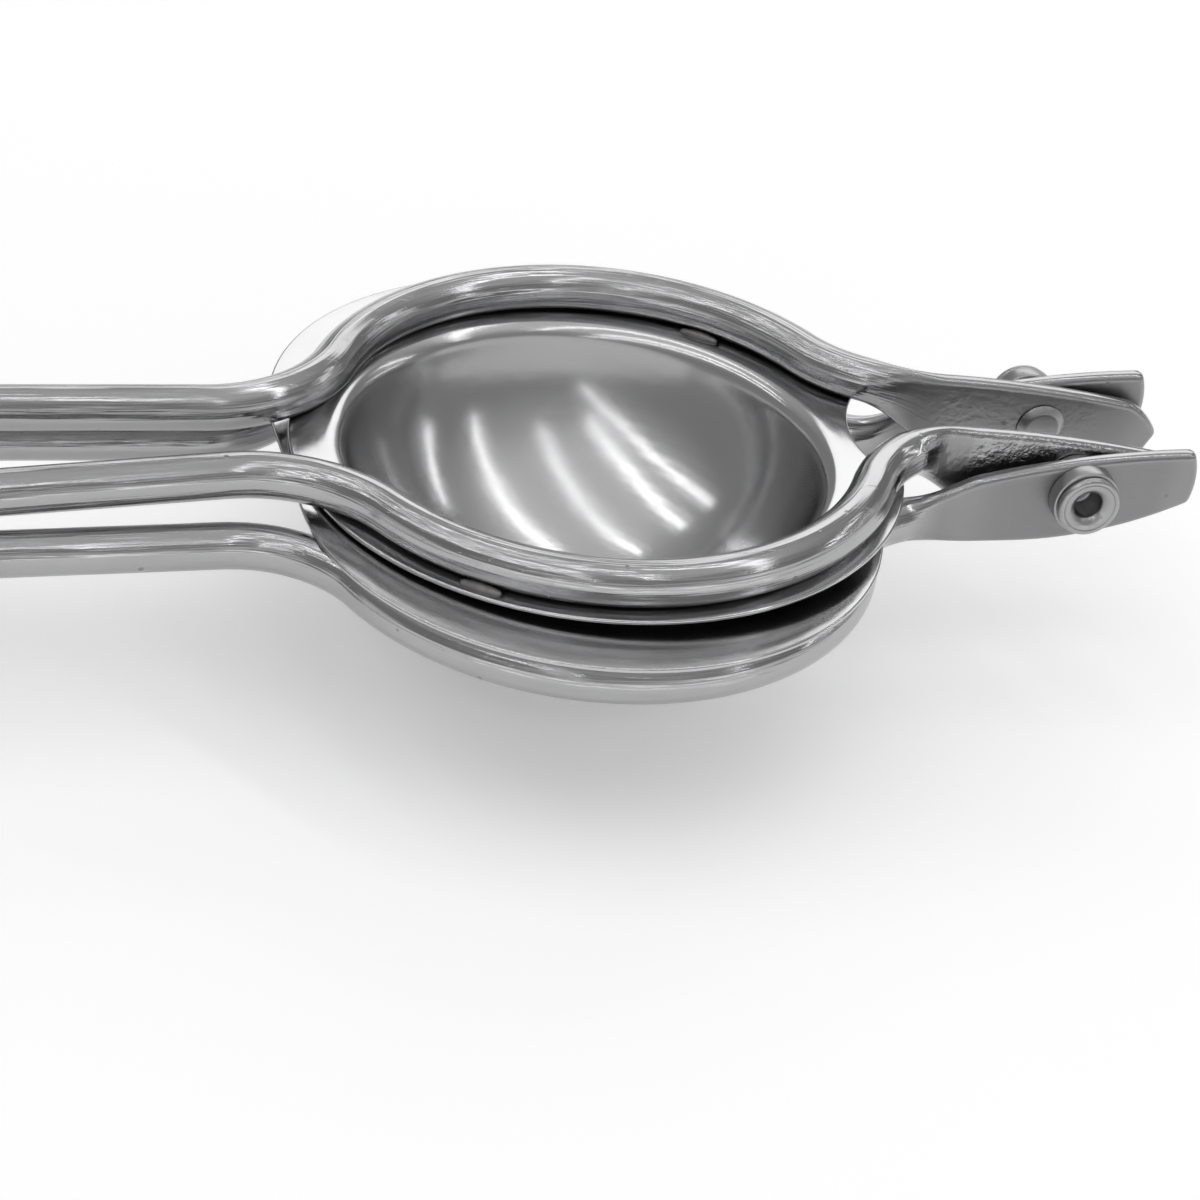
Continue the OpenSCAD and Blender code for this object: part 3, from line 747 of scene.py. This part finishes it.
def lever_tree():
    tree, given, out = geometry_tree("Bent and squeezed bar", {
        "Sides": 48, "Face Share": 0.45, "Dent Depth": 0.1, "Dent Scale": 0.5,
        "Dent Seed": 1.0, "Bore Radius": 3.06, "Hinge": "Vector",
    })
    maths = maths_in(tree)

    def vectors(operation, a, b=None, scale=None):
        inputs = {0: a}
        if b is not None:
            inputs[1] = b
        if scale is not None:
            inputs["Scale"] = scale
        return put(tree, "ShaderNodeVectorMath", inputs, operation=operation).outputs[0]

    def named(label, kind):
        return put(
            tree, "GeometryNodeInputNamedAttribute", {"Name": label}, data_type=kind
        ).outputs["Attribute"]

    # A ring of points that know their angle, swept along the path
    ring = ring_curve(tree, given.outputs["Sides"])
    index = put(tree, "GeometryNodeInputIndex").outputs[0]
    step = maths("DIVIDE", 2 * math.pi, given.outputs["Sides"])
    ring = stored(tree, ring, "turn", maths("MULTIPLY", maths("ADD", index, 0.5), step))
    swept = put(
        tree, "GeometryNodeCurveToMesh",
        {"Curve": path_curve(tree, given), "Profile Curve": ring},
    ).outputs["Mesh"]

    # Grain coordinates for the material: along the bar, and on a circle round it
    turn = named("turn", "FLOAT")
    side, up = maths("COSINE", turn), maths("SINE", turn)
    grain = put(
        tree, "ShaderNodeCombineXYZ",
        {0: named("run", "FLOAT"), 1: maths("MULTIPLY", side, BAR_R),
         2: maths("MULTIPLY", up, BAR_R)},
    ).outputs[0]
    swept = stored(tree, swept, "grain", grain, "FLOAT_VECTOR")

    # Shares round the section: how far up the face, and how far round the edge
    quarter = maths("MULTIPLY", maths("ARCCOSINE", maths("ABSOLUTE", side)), 2 / math.pi)
    face = given.outputs["Face Share"]
    climb = maths("MINIMUM", maths("DIVIDE", quarter, face), 1.0)
    round_share = maths(
        "DIVIDE",
        maths("MAXIMUM", maths("SUBTRACT", quarter, face), 0.0),
        maths("SUBTRACT", 1.0, face),
    )
    flat_share = maths("SUBTRACT", 1.0, round_share)
    bend = maths("MULTIPLY", flat_share, math.pi / 2)
    share = maths("MULTIPLY_ADD", maths("MULTIPLY", climb, maths("SIGN", up)), 0.5, 0.5)

    # Point on the flat strap's section
    edge, half = named("edge", "FLOAT"), named("half", "FLOAT")
    inset = maths("MULTIPLY", edge, maths("SUBTRACT", 1.0, maths("COSINE", bend)))
    top, low = named("top", "FLOAT_VECTOR"), named("low", "FLOAT_VECTOR")
    top_in, low_in = named("top_in", "FLOAT_VECTOR"), named("low_in", "FLOAT_VECTOR")
    high = vectors("ADD", top, vectors("SCALE", top_in, scale=inset))
    deep = vectors("ADD", low, vectors("SCALE", low_in, scale=inset))
    spine = mixed(tree, "VECTOR", share, deep, high)
    reach = maths(
        "MULTIPLY",
        maths("SIGN", side),
        maths("MULTIPLY_ADD", edge, maths("SINE", bend), maths("SUBTRACT", half, edge)),
    )
    across = named("across", "FLOAT_VECTOR")
    flat = vectors("ADD", spine, vectors("SCALE", across, scale=reach))

    # Point on the round bar's section
    middle = mixed(tree, "VECTOR", 0.5, low, top)
    tall = vectors("SCALE", vectors("SUBTRACT", top, low), scale=maths("MULTIPLY", up, 0.5))
    wide = vectors("SCALE", across, scale=maths("MULTIPLY", side, half))
    round_bar = vectors("ADD", middle, vectors("ADD", tall, wide))
    squeezed = named("forged", "FLOAT")

    # The hammer fell on the outer faces, and the flat faces that it missed stayed dull
    middle_hit, side_hit = (1 + INNER_HIT) / 2, (1 - INNER_HIT) / 2
    outer = maths("MULTIPLY_ADD", maths("SIGN", side), side_hit, middle_hit)
    outer = maths("MULTIPLY", outer, flat_share)
    hammered = maths("MULTIPLY", named("hammered", "FLOAT"), outer)
    swept = stored(tree, swept, "hammered", hammered)
    missed = maths("MULTIPLY_ADD", named("hammered", "FLOAT"), -HAMMER_SHINE, 1.0)
    dull = maths("MINIMUM", maths("MULTIPLY", squeezed, DULL_SOONER), 1.0)
    dull = maths("MULTIPLY", maths("MULTIPLY", dull, flat_share), missed)
    swept = stored(tree, swept, "dull", dull)
    shaped = put(
        tree, "GeometryNodeSetPosition",
        {"Geometry": swept,
         "Position": mixed(tree, "VECTOR", squeezed, round_bar, flat)},
    ).outputs["Geometry"]

    # The other half, and one welded skin
    mirrored = put(
        tree, "GeometryNodeTransform", {"Geometry": shaped, "Scale": (1.0, -1.0, 1.0)}
    ).outputs["Geometry"]
    mirrored = put(tree, "GeometryNodeFlipFaces", {"Mesh": mirrored}).outputs["Mesh"]
    turned_back = vectors("MULTIPLY", named("grain", "FLOAT_VECTOR"), (-1.0, 1.0, 1.0))
    mirrored = stored(tree, mirrored, "grain", turned_back, "FLOAT_VECTOR")
    both = put(tree, "GeometryNodeJoinGeometry").inputs[0]
    tree.links.new(shaped, both)
    tree.links.new(mirrored, both)
    whole = put(
        tree, "GeometryNodeMergeByDistance",
        {"Geometry": both.node.outputs[0], "Distance": WELD_DISTANCE},
    ).outputs["Geometry"]

    # Dents where the hammer fell
    place = put(tree, "GeometryNodeInputPosition").outputs[0]
    noise = put(
        tree, "ShaderNodeTexNoise",
        {"Vector": place, "W": given.outputs["Dent Seed"],
         "Scale": given.outputs["Dent Scale"], "Detail": 3.0},
        noise_dimensions="4D",
    ).outputs["Fac"]
    hit = named("hammered", "FLOAT")
    depth = maths("MULTIPLY", maths("MINIMUM", maths("SUBTRACT", noise, 0.5), 0.0), hit)
    depth = maths("MULTIPLY", depth, given.outputs["Dent Depth"])
    normal = put(tree, "GeometryNodeInputNormal").outputs[0]
    dented = put(
        tree, "GeometryNodeSetPosition",
        {"Geometry": whole, "Offset": vectors("SCALE", normal, scale=depth)},
    ).outputs["Geometry"]

    # The bore for the rivet
    drill = put(
        tree, "GeometryNodeMeshCylinder",
        {"Vertices": DRILL_SIDES, "Radius": given.outputs["Bore Radius"],
         "Depth": DRILL_LEN},
    ).outputs["Mesh"]
    drill = put(
        tree, "GeometryNodeTransform",
        {"Geometry": drill, "Translation": given.outputs["Hinge"],
         "Rotation": (math.pi / 2, 0.0, 0.0)},
    ).outputs["Geometry"]
    close_tree(tree, cut_out(tree, dented, drill), given, out)
    return tree


LEVER_TREE = lever_tree()
print("lever tree has", len(LEVER_TREE.nodes), "nodes")


# %% Make both levers
DENT_DEPTH, DENT_SCALE = 0.4, 0.6
BORE_R = {"press_half": 3.06, "strainer_half": 3.02}


def make_lever(name, node, body, lever, edges, place, dents):
    rows = sections(lever, edges)
    path = lever_path(name, rows)
    marked = path.data.attributes.new("hammered", "FLOAT", "POINT").data
    marked.foreach_set("value", [dents(row) for row in rows])
    hinge_x, hinge_z = lever["hinge"]
    made = run_tree(path, LEVER_TREE, {
        "Dent Depth": DENT_DEPTH, "Dent Scale": DENT_SCALE, "Bore Radius": BORE_R[body],
        "Hinge": (hinge_x, 0.0, hinge_z), "Material": POLISHED,
    })
    made.data.transform(place)
    finish_mesh(made, sharp=50)
    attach(made, body)
    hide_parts(node)


def press_dents(row):
    """Dents lie on the squeeze, along most of the strap and at its cut end."""
    x, forged = row[0][0], row[-1]
    if forged == 0:
        return 0.0
    squeeze = 0.5 * forged * rising(x, 60, 54)
    strap = rising(x, 51, 56) * rising(x, 84, 72)
    return max(squeeze, strap, 0.6 * rising(x, 84, 88))


def strainer_dents(row):
    """Light dents lie on the squeeze and at the strap's end."""
    x, forged = row[0][0], row[-1]
    if forged == 0:
        return 0.0
    return max(0.4 * forged * rising(x, 60, 50), 0.3 * rising(x, 81, 86))


make_lever(
    "press_lever_bar", "press_lever", "press_half", PRESS, press_edges, CLOSED, press_dents
)
make_lever(
    "strainer_lever_bar", "strainer_lever", "strainer_half", STRAINER, strainer_edges,
    LEVEL, strainer_dents,
)

# %% [markdown]
# ## The pressed cups
# A cup is one sheet: a bowl, a rolled shoulder and a flat flange. Its section is swept
# round the axis, and the outer rim of the flange follows its own outline, so every
# point of the flange is placed at a share of the way from the lip to that outline. The
# rim is rounded as worn sheet is.


# %% Section of a cup
WALL_POINTS, ROLL_POINTS = 46, 12
FINE_POINTS, SKIN_WINDOW, SKIN_POINTS = 900, 25, 66
RIM_R = 0.32
RIM_TURNS = (90, 70, 50, 30, 10)
FLANGE_SHARES = (0.25, 0.5, 0.75)


def bowl_radius(lip_r, depth, flat_r):
    """Radius of a bowl that meets its flat foot and its shoulder without a crease."""
    k = lip_r**2 - flat_r**2 + depth**2 - 2 * SHOULDER_R * depth
    drop = depth - SHOULDER_R
    a = drop**2 - SHOULDER_R**2
    b = k * SHOULDER_R
    c = -(k * k / 4 + drop**2 * flat_r**2)
    return (math.sqrt(b * b - 4 * a * c) - b) / (2 * a)


def cup_section(lip_r, depth, flat_r):
    """Points (radius, height, share of the flange) from the inner middle to the outer."""
    r = bowl_radius(lip_r, depth, flat_r)
    bowl_c = np.array([0.0, math.sqrt(r * r - flat_r**2) - depth])
    shoulder_c = np.array([lip_r, -SHOULDER_R])
    out = (shoulder_c - bowl_c) / np.linalg.norm(shoulder_c - bowl_c)
    meet = math.atan2(out[1], out[0])

    def skin(bowl_r, shoulder_r, floor_z):
        """One side of the sheet, from the middle to the start of the flange."""
        flat_end = math.sqrt(bowl_r**2 - (bowl_c[1] - floor_z) ** 2)
        start = math.atan2(floor_z - bowl_c[1], flat_end)
        wall = [bowl_c + bowl_r * toward(a)
                for a in np.linspace(start, meet, WALL_POINTS)]
        roll = [shoulder_c + shoulder_r * toward(a)
                for a in np.linspace(meet + math.pi, math.pi / 2, ROLL_POINTS)]
        line = np.array([(0.0, floor_z), *wall, *roll[1:]])
        smooth = worn(even(line, FINE_POINTS), SKIN_WINDOW)
        smooth[0, 0] = 0.0
        return even(smooth, SKIN_POINTS)

    inner = skin(r, SHOULDER_R, -depth)
    outer = skin(r + SHEET, SHOULDER_R - SHEET, -depth - SHEET)
    rows = [(x, z, 0.0, 0.0) for x, z in inner]
    rows += [(lip_r, 0.0, share, 0.0) for share in FLANGE_SHARES]
    rim = [(RIM_R * (math.sin(a) - 1), RIM_R * (math.cos(a) - 1))
           for a in np.radians(RIM_TURNS)]
    rows += [(lip_r, z, 1.0, inset) for z, inset in rim]
    rows += [(lip_r, -z - SHEET, 1.0, inset) for z, inset in rim[::-1]]
    rows += [(lip_r, -SHEET, share, 0.0) for share in FLANGE_SHARES[::-1]]
    rows += [(x, z, 0.0, 0.0) for x, z in outer[::-1]]
    return rows


def cup(name, section, lip_r, outline, lift, steps=480):
    """Closed mesh of a cup whose flange reaches the outline radius at each angle."""
    turns = np.arange(steps) * 2 * math.pi / steps
    reach = outline(turns)
    reach = (np.roll(reach, 1) + 2 * reach + np.roll(reach, -1)) / 4
    points, rows = [], []
    for x, z, share, inset in section:
        if x == 0:
            rows.append([len(points)] * steps)
            points.append((0, 0, z + lift))
            continue
        rows.append(list(range(len(points), len(points) + steps)))
        radius = x + share * (reach - lip_r) + inset if share else np.full(steps, x)
        points += [(r * math.cos(a), r * math.sin(a), z + lift) for r, a in zip(radius, turns)]
    return piece(name, points, ring_faces(rows))


# %% Flange outlines seen from the cup's axis
PRESS_LIP_R, PRESS_FLAT_R = 36.0, 9.0
STRAINER_LIP_R, STRAINER_FLAT_R = 39.0, 12.0
PRESS_OVERHANG, STRAINER_OVERHANG = 0.9, 0.15
NOTCH_R, NOTCH_LAND, LIP_LAND = 20.0, 3.2, 1.6


def to_circle(turns, centre, radius, far=True):
    """Distance along each direction to a circle, on its far or its near side."""
    along = centre[0] * np.cos(turns) + centre[1] * np.sin(turns)
    inside = radius**2 - centre[0] ** 2 - centre[1] ** 2 + along**2
    root = np.sqrt(np.maximum(inside, 0.0))
    found = along + root if far else along - root
    return np.where((inside > 0) & (along > 0) | far, found, np.inf)


def ring_middle(lever, side=1):
    """Middle of a lever's ring of bar, which has one on each side where they differ."""
    return lever["ring_x"], side * lever["ring_y"]


def press_outline(turns):
    """The flange covers the ring, but for a round notch at the hinge side."""
    rim = to_circle(turns, ring_middle(PRESS), PRESS["ring_r"] + BAR_R + PRESS_OVERHANG)
    notch_c = (PRESS_LIP_R + NOTCH_LAND + NOTCH_R, 0.0)
    return np.minimum(rim, to_circle(turns, notch_c, NOTCH_R, far=False))


def strainer_outline(turns):
    """The flange covers both half rings and the straight bar between them."""
    r, x, y = STRAINER["ring_r"] + BAR_R + STRAINER_OVERHANG, *ring_middle(STRAINER)
    halves = [to_circle(turns, ring_middle(STRAINER, side), r) for side in (-1, 1)]
    cosines, sines = np.cos(turns), np.sin(turns)
    with np.errstate(divide="ignore"):
        box_x = np.where(cosines > 0, (r + x) / np.abs(cosines), (r - x) / np.abs(cosines))
        box_y = y / np.abs(sines)
    round_lip = np.full_like(turns, STRAINER_LIP_R + LIP_LAND)
    return np.max([*halves, np.minimum(box_x, box_y), round_lip], axis=0)


# %% [markdown]
# The strainer cup drains through circles of punched holes. A node tree puts a punch on
# every point of each circle and cuts them all at once.


# %% Punch the drain holes
HOLE_RINGS, PUNCH_LEN, PUNCH_SIDES = 4, 30.0, 28


def drain_tree(rings):
    tree, given, out = geometry_tree(
        "Drain holes", {"Hole Radius": 1.4, "Hole Pitch": 5.0}
    )
    punches = put(tree, "GeometryNodeJoinGeometry")
    for ring in range(1, rings + 1):
        radius = maths_in(tree)("MULTIPLY", given.outputs["Hole Pitch"], float(ring))
        circle = put(
            tree, "GeometryNodeMeshCircle", {"Vertices": 6 * ring, "Radius": radius}
        ).outputs["Mesh"]
        tree.links.new(circle, punches.inputs[0])
    punch = put(
        tree, "GeometryNodeMeshCylinder",
        {"Vertices": PUNCH_SIDES, "Radius": given.outputs["Hole Radius"],
         "Depth": PUNCH_LEN},
    ).outputs["Mesh"]
    placed = put(
        tree, "GeometryNodeInstanceOnPoints",
        {"Points": punches.outputs[0], "Instance": punch},
    ).outputs["Instances"]
    placed = put(tree, "GeometryNodeRealizeInstances", {"Geometry": placed}).outputs[0]
    close_tree(tree, cut_out(tree, given.outputs["Geometry"], placed), given, out)
    return tree


# %% Make both cups
press_sheet = cup(
    "press_cup_sheet", cup_section(PRESS_LIP_R, PRESS_DEPTH, PRESS_FLAT_R), PRESS_LIP_R,
    press_outline, 0.0,
)
press_sheet.data.materials.append(SATIN)
press_sheet.data.transform(CLOSED)
strainer_sheet = cup(
    "strainer_cup_sheet", cup_section(STRAINER_LIP_R, STRAINER_DEPTH, STRAINER_FLAT_R),
    STRAINER_LIP_R, strainer_outline, STRAINER_TOP,
)
finish_mesh(strainer_sheet)
run_tree(strainer_sheet, drain_tree(HOLE_RINGS), {"Material": SATIN})
strainer_sheet.data.transform(LEVEL)
for made, node, body in (
    (press_sheet, "press_cup", "press_half"),
    (strainer_sheet, "strainer_cup", "strainer_half"),
):
    finish_mesh(made, sharp=40)
    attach(made, body)
    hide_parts(node)
    print(made.name, "volume", round(volume(made.data) * 1e9), "mm3")

# %% [markdown]
# ## The hinge
# A hollow rivet on each side passes through both straps. It has a low head inside, a
# collar outside and an end that is rolled over like an eyelet. These are turned shapes,
# so a section is softened at its corners and turned about the hinge axis.


# %% Turn a section about the hinge
CORNER_SHARE = 0.45


def soft(corners, radius, steps=4):
    """Closed outline with each corner cut back and rounded."""
    made = []
    count = len(corners)
    for k in range(count):
        before, here, after = (np.array(corners[(k + n) % count], float) for n in (-1, 0, 1))
        if here[0] == 0:
            made.append(here)
            continue
        back, ahead = before - here, after - here
        r = min(radius, *(CORNER_SHARE * np.linalg.norm(v) for v in (back, ahead)))
        a = here + back / np.linalg.norm(back) * r
        b = here + ahead / np.linalg.norm(ahead) * r
        for t in np.linspace(0, 1, steps):
            made.append((1 - t) ** 2 * a + 2 * t * (1 - t) * here + t * t * b)
    return made


def turned(name, outline, side, steps=96):
    """Mesh of a (radius, distance outward) outline turned about the hinge axis."""
    points, rows = [], []
    for r, y in outline:
        if r == 0:
            rows.append([len(points)] * steps)
            points.append((PIVOT_X, side * y, PIVOT_Z))
            continue
        rows.append(list(range(len(points), len(points) + steps)))
        for k in range(steps):
            a = 2 * math.pi * k / steps
            points.append((PIVOT_X + r * math.cos(a), side * y, PIVOT_Z + r * math.sin(a)))
    return piece(name, points, ring_faces(rows, closed=True), place=LEVEL)


def washer(outer_r, low, high, radius):
    """Section of a ring that fits over the rivet's shank."""
    bore_r = BORE_R["strainer_half"]
    corners = [(bore_r, low), (outer_r, low), (outer_r, high), (bore_r, high)]
    return soft(corners, radius)


# %% Make the hinge pieces of both sides
SHANK_R, MOUTH_R, MOUTH_DEPTH = 3.0, 2.0, 5.0
MOUTH_LIP_R, LIP_DROP, THROAT_DROP = 2.95, 0.15, 0.95
HEAD_R, HEAD_TOP_R, HEAD_T = 3.8, 2.6, 0.9
ROLL_R, ROLL_MID_R = 0.7, 3.9
COLLAR_R, COLLAR_T = 4.9, 2.5
SPACER_R, SPACER_T, HEAD_GAP = 4.38, 1.0, 0.1

COLLAR_Y = STRAINER_STRAP_Y + STRAP_T / 2
SPACER_Y = COLLAR_Y - STRAP_T
RIM_Y = COLLAR_Y + COLLAR_T
TIP_Y = RIM_Y + 2 * ROLL_R
HEAD_Y = PRESS_STRAP_Y - STRAP_T / 2 - HEAD_GAP
HEAD = soft(
    [(0, HEAD_Y - HEAD_T), (HEAD_TOP_R, HEAD_Y - HEAD_T), (HEAD_R, HEAD_Y),
     (SHANK_R, HEAD_Y)],
    radius=0.35,
)
ROLL = [
    (ROLL_MID_R + ROLL_R * math.cos(a), RIM_Y + ROLL_R + ROLL_R * math.sin(a))
    for a in np.radians(np.arange(-90, 91, 15))
]
MOUTH = soft(
    [(ROLL_MID_R, TIP_Y), (MOUTH_LIP_R, TIP_Y - LIP_DROP), (MOUTH_R, TIP_Y - THROAT_DROP),
     (MOUTH_R, TIP_Y - MOUTH_DEPTH), (0, TIP_Y - MOUTH_DEPTH)],
    radius=0.4,
)
RIVET = HEAD + [np.array((SHANK_R, RIM_Y))] + [np.array(p) for p in ROLL] + MOUTH[1:]
COLLAR = washer(COLLAR_R, COLLAR_Y, RIM_Y, radius=0.3)
SPACER = washer(SPACER_R, SPACER_Y - SPACER_T, SPACER_Y, radius=0.15)
for place, side in (("front", -1), ("back", 1)):
    for kind, outline in (("rivet", RIVET), ("collar", COLLAR), ("spacer", SPACER)):
        made = turned(f"{place}_{kind}_turned", outline, side)
        made.data.materials.append(TUMBLED)
        finish_mesh(made, sharp=60)
        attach(made, "strainer_half")
        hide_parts(f"{place}_{kind}")
        print(made.name, "volume", round(volume(made.data) * 1e9, 1), "mm3")

# %% [markdown]
# ## The weld beads
# Short beads hold each cup's flange to its ring of bar. A bead is laid as a row of
# overlapping drops, so its tree sweeps a ring along a short arc and lets its radius
# swell and shrink along the way, tapering at both ends.


# %% Lay the beads
BEAD_SIDES, BEAD_TAPER, BEAD_WAIST = 20, 0.35, 0.9


def bead_tree():
    tree, given, out = geometry_tree(
        "Weld beads", {"Bead Radius": 1.1, "Ripples": 5.0, "Ripple Depth": 0.06}
    )
    maths = maths_in(tree)
    share = put(tree, "GeometryNodeSplineParameter").outputs["Factor"]
    swell = maths("SINE", maths("MULTIPLY", share, math.pi))
    taper = maths("POWER", maths("MAXIMUM", swell, 0.0001), BEAD_TAPER)
    drops = maths("MULTIPLY", maths("MULTIPLY", share, given.outputs["Ripples"]), math.pi)
    ripple = maths("ABSOLUTE", maths("SINE", drops))
    ripple = maths("MULTIPLY_ADD", ripple, given.outputs["Ripple Depth"], BEAD_WAIST)
    radius = maths("MULTIPLY", maths("MULTIPLY", taper, ripple), given.outputs["Bead Radius"])
    path = put(
        tree, "GeometryNodeSetCurveRadius",
        {"Curve": path_curve(tree, given), "Radius": radius},
    ).outputs["Curve"]
    swept = put(
        tree, "GeometryNodeCurveToMesh",
        {"Curve": path, "Profile Curve": ring_curve(tree, BEAD_SIDES), "Scale": radius,
         "Fill Caps": True},
    ).outputs["Mesh"]
    close_tree(tree, swept, given, out)
    return tree


BEAD_TREE = bead_tree()
print("bead tree has", len(BEAD_TREE.nodes), "nodes")


# %% Make the beads of both cups
BEAD_R, BEAD_LEN, BEAD_POINTS = 0.78, 6.0, 45
BEAD_ASIDE, BEAD_SUNK = 2.4, 0.12


def make_beads(name, node, body, arcs, height, place):
    """All beads of one cup. Each arc is (centre, radius, middle angle in degrees)."""
    points, edges = [], []
    for centre, radius, middle in arcs:
        span = math.degrees(BEAD_LEN / radius) / 2
        start = len(points)
        for a in np.radians(np.linspace(middle - span, middle + span, BEAD_POINTS)):
            points.append((centre[0] + radius * math.cos(a),
                           centre[1] + radius * math.sin(a), height))
        edges += [(k, k + 1) for k in range(start, len(points) - 1)]
    made = piece(name, points, edges=edges)
    # The beads' material is darkened with painted shade of the crevice they fill.
    run_tree(made, BEAD_TREE, {"Bead Radius": BEAD_R, "Material": WELD_IN_PAINTED_SHADE})
    made.data.transform(place)
    finish_mesh(made, sharp=70)
    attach(made, body)
    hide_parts(node)


make_beads(
    "press_weld_beads", "press_welds", "press_half",
    [(ring_middle(PRESS), PRESS["ring_r"] + side * BEAD_ASIDE, middle)
     for middle, side in ((52, -1), (126, 1), (-52, -1), (-126, 1))],
    BEAD_SUNK, CLOSED,
)
make_beads(
    "strainer_weld_beads", "strainer_welds", "strainer_half",
    [(ring_middle(STRAINER, side), STRAINER["ring_r"] - BEAD_ASIDE, side * middle)
     for middle in (62, 116) for side in (-1, 1)],
    STRAINER_DEPTH - BEAD_SUNK, LEVEL,
)


# %% [markdown]
# ## Floor, light and camera
# Polished steel shows what stands round it, so the studio is plain and large: a pale
# floor, and a sky that is bright low down and overhead and darker between. Thin strip
# lamps draw bright lines along the bars, and a low band in front and two faint broad
# boxes fill their sides. The camera stands where the photograph was taken.


# %% Floor
FLOOR_R, FLOOR_SIDES, FLOOR_LIFT = 6.0, 96, 0.22
floor = piece(
    "floor",
    [(*(FLOOR_R * toward(a)), 0)
     for a in np.linspace(0, 2 * math.pi, FLOOR_SIDES, endpoint=False)],
    faces=[list(range(FLOOR_SIDES))],
)
floor_paint = bpy.data.materials.new("floor_paint")
floor_paint.use_nodes = True
paint = floor_paint.node_tree.nodes["Principled BSDF"]
paint.inputs["Base Color"].default_value = (0.97, 0.97, 0.97, 1.0)
paint.inputs["Roughness"].default_value = 0.9
paint.inputs["Specular IOR Level"].default_value = 0.1

# What the camera and the steel see of the floor is lifted to white, shadows stay
nodes = floor_paint.node_tree
ray = put(nodes, "ShaderNodeLightPath").outputs
maths = maths_in(nodes)
seen = maths("MAXIMUM", ray["Is Camera Ray"], ray["Is Glossy Ray"])
seen = maths("MAXIMUM", seen, ray["Is Transmission Ray"])
lift = maths("MULTIPLY", seen, FLOOR_LIFT)
glow = put(nodes, "ShaderNodeEmission", {"Strength": lift}).outputs[0]
whole = put(nodes, "ShaderNodeAddShader", {0: paint.outputs[0], 1: glow}).outputs[0]
nodes.links.new(whole, nodes.nodes["Material Output"].inputs["Surface"])
floor.data.materials.append(floor_paint)

# %% Sky
world = bpy.data.worlds.new("studio")
bpy.context.scene.world = world
world.use_nodes = True
sky = world.node_tree
direction = put(sky, "ShaderNodeTexCoord").outputs["Generated"]
height = put(sky, "ShaderNodeSeparateXYZ", {"Vector": direction}).outputs["Z"]
ramp = put(sky, "ShaderNodeValToRGB", {"Fac": height})
bands = ramp.color_ramp
for end in bands.elements:
    end.color = (0.7, 0.7, 0.7, 1)
for position, level in ((0.12, 0.7), (0.2, 0.3), (0.5, 0.28), (0.72, 0.45), (0.88, 0.7)):
    band = bands.elements.new(position)
    band.color = (level, level, level, 1)
background = sky.nodes["Background"]
sky.links.new(ramp.outputs["Color"], background.inputs["Color"])
background.inputs["Strength"].default_value = 1.0


# %% Strip lamps and boxes
def strip_lamp(name, start, end, width, radiance):
    """A long flat lamp between two points, turned to face the part."""
    start, end = Vector(start), Vector(end)
    middle, along = (start + end) / 2, (end - start).normalized()
    back = middle - along * middle.dot(along)
    back.normalize()
    lamp = bpy.data.lights.new(name, "AREA")
    lamp.shape = "RECTANGLE"
    lamp.size, lamp.size_y = width, (end - start).length
    lamp.energy = radiance * math.pi * lamp.size * lamp.size_y
    box = bpy.data.objects.new(name, lamp)
    turn = Matrix((along.cross(back), along, back)).transposed()
    box.matrix_world = Matrix.Translation(middle) @ turn.to_4x4()
    bpy.context.scene.collection.objects.link(box)


for name, start, end, width, radiance in (
    ("strip_1", (-0.39, -1.89, 1.2), (-1.43, 0.99, 1.2), 0.03, 8.0),
    ("strip_2", (-0.35, -1.07, 1.2), (-0.90, 0.85, 1.2), 0.03, 8.0),
    ("strip_3", (0.26, -0.98, 1.2), (-0.37, 0.82, 1.2), 0.022, 8.0),
    ("strip_4", (1.38, -1.08, 1.2), (0.25, 0.55, 1.2), 0.036, 8.0),
    ("strip_5", (1.36, -0.27, 0.58), (1.15, 0.42, 0.87), 0.026, 8.0),
    ("strip_6", (1.44, -0.18, 0.405), (1.37, 0.38, 0.486), 0.014, 8.0),
    ("front_band", (-1.5, -1.2, 0.14), (1.5, -1.2, 0.14), 0.12, 1.5),
    ("back_box", (0.04, 1.19, 0.65), (0.94, 0.83, 0.65), 0.5, 1.5),
    ("front_box", (-2.2, -1.2, 0.42), (2.2, -1.2, 0.42), 0.4, 0.42),
):
    strip_lamp(name, start, end, width, radiance)
    print(name, "is", round((Vector(end) - Vector(start)).length, 2), "m long")

# %% Camera
camera_data = bpy.data.cameras.new("camera")
camera_data.lens = 126.21
camera_data.sensor_width = 36.0
camera_data.clip_start = 0.01
camera = bpy.data.objects.new("camera", camera_data)
camera.location = (-0.158917, -0.475453, 0.330409)
camera.rotation_euler = [math.radians(a) for a in (56.77247, -7.64119, -14.12121)]
bpy.context.scene.collection.objects.link(camera)
bpy.context.scene.camera = camera
bpy.context.scene.view_settings.view_transform = "Standard"
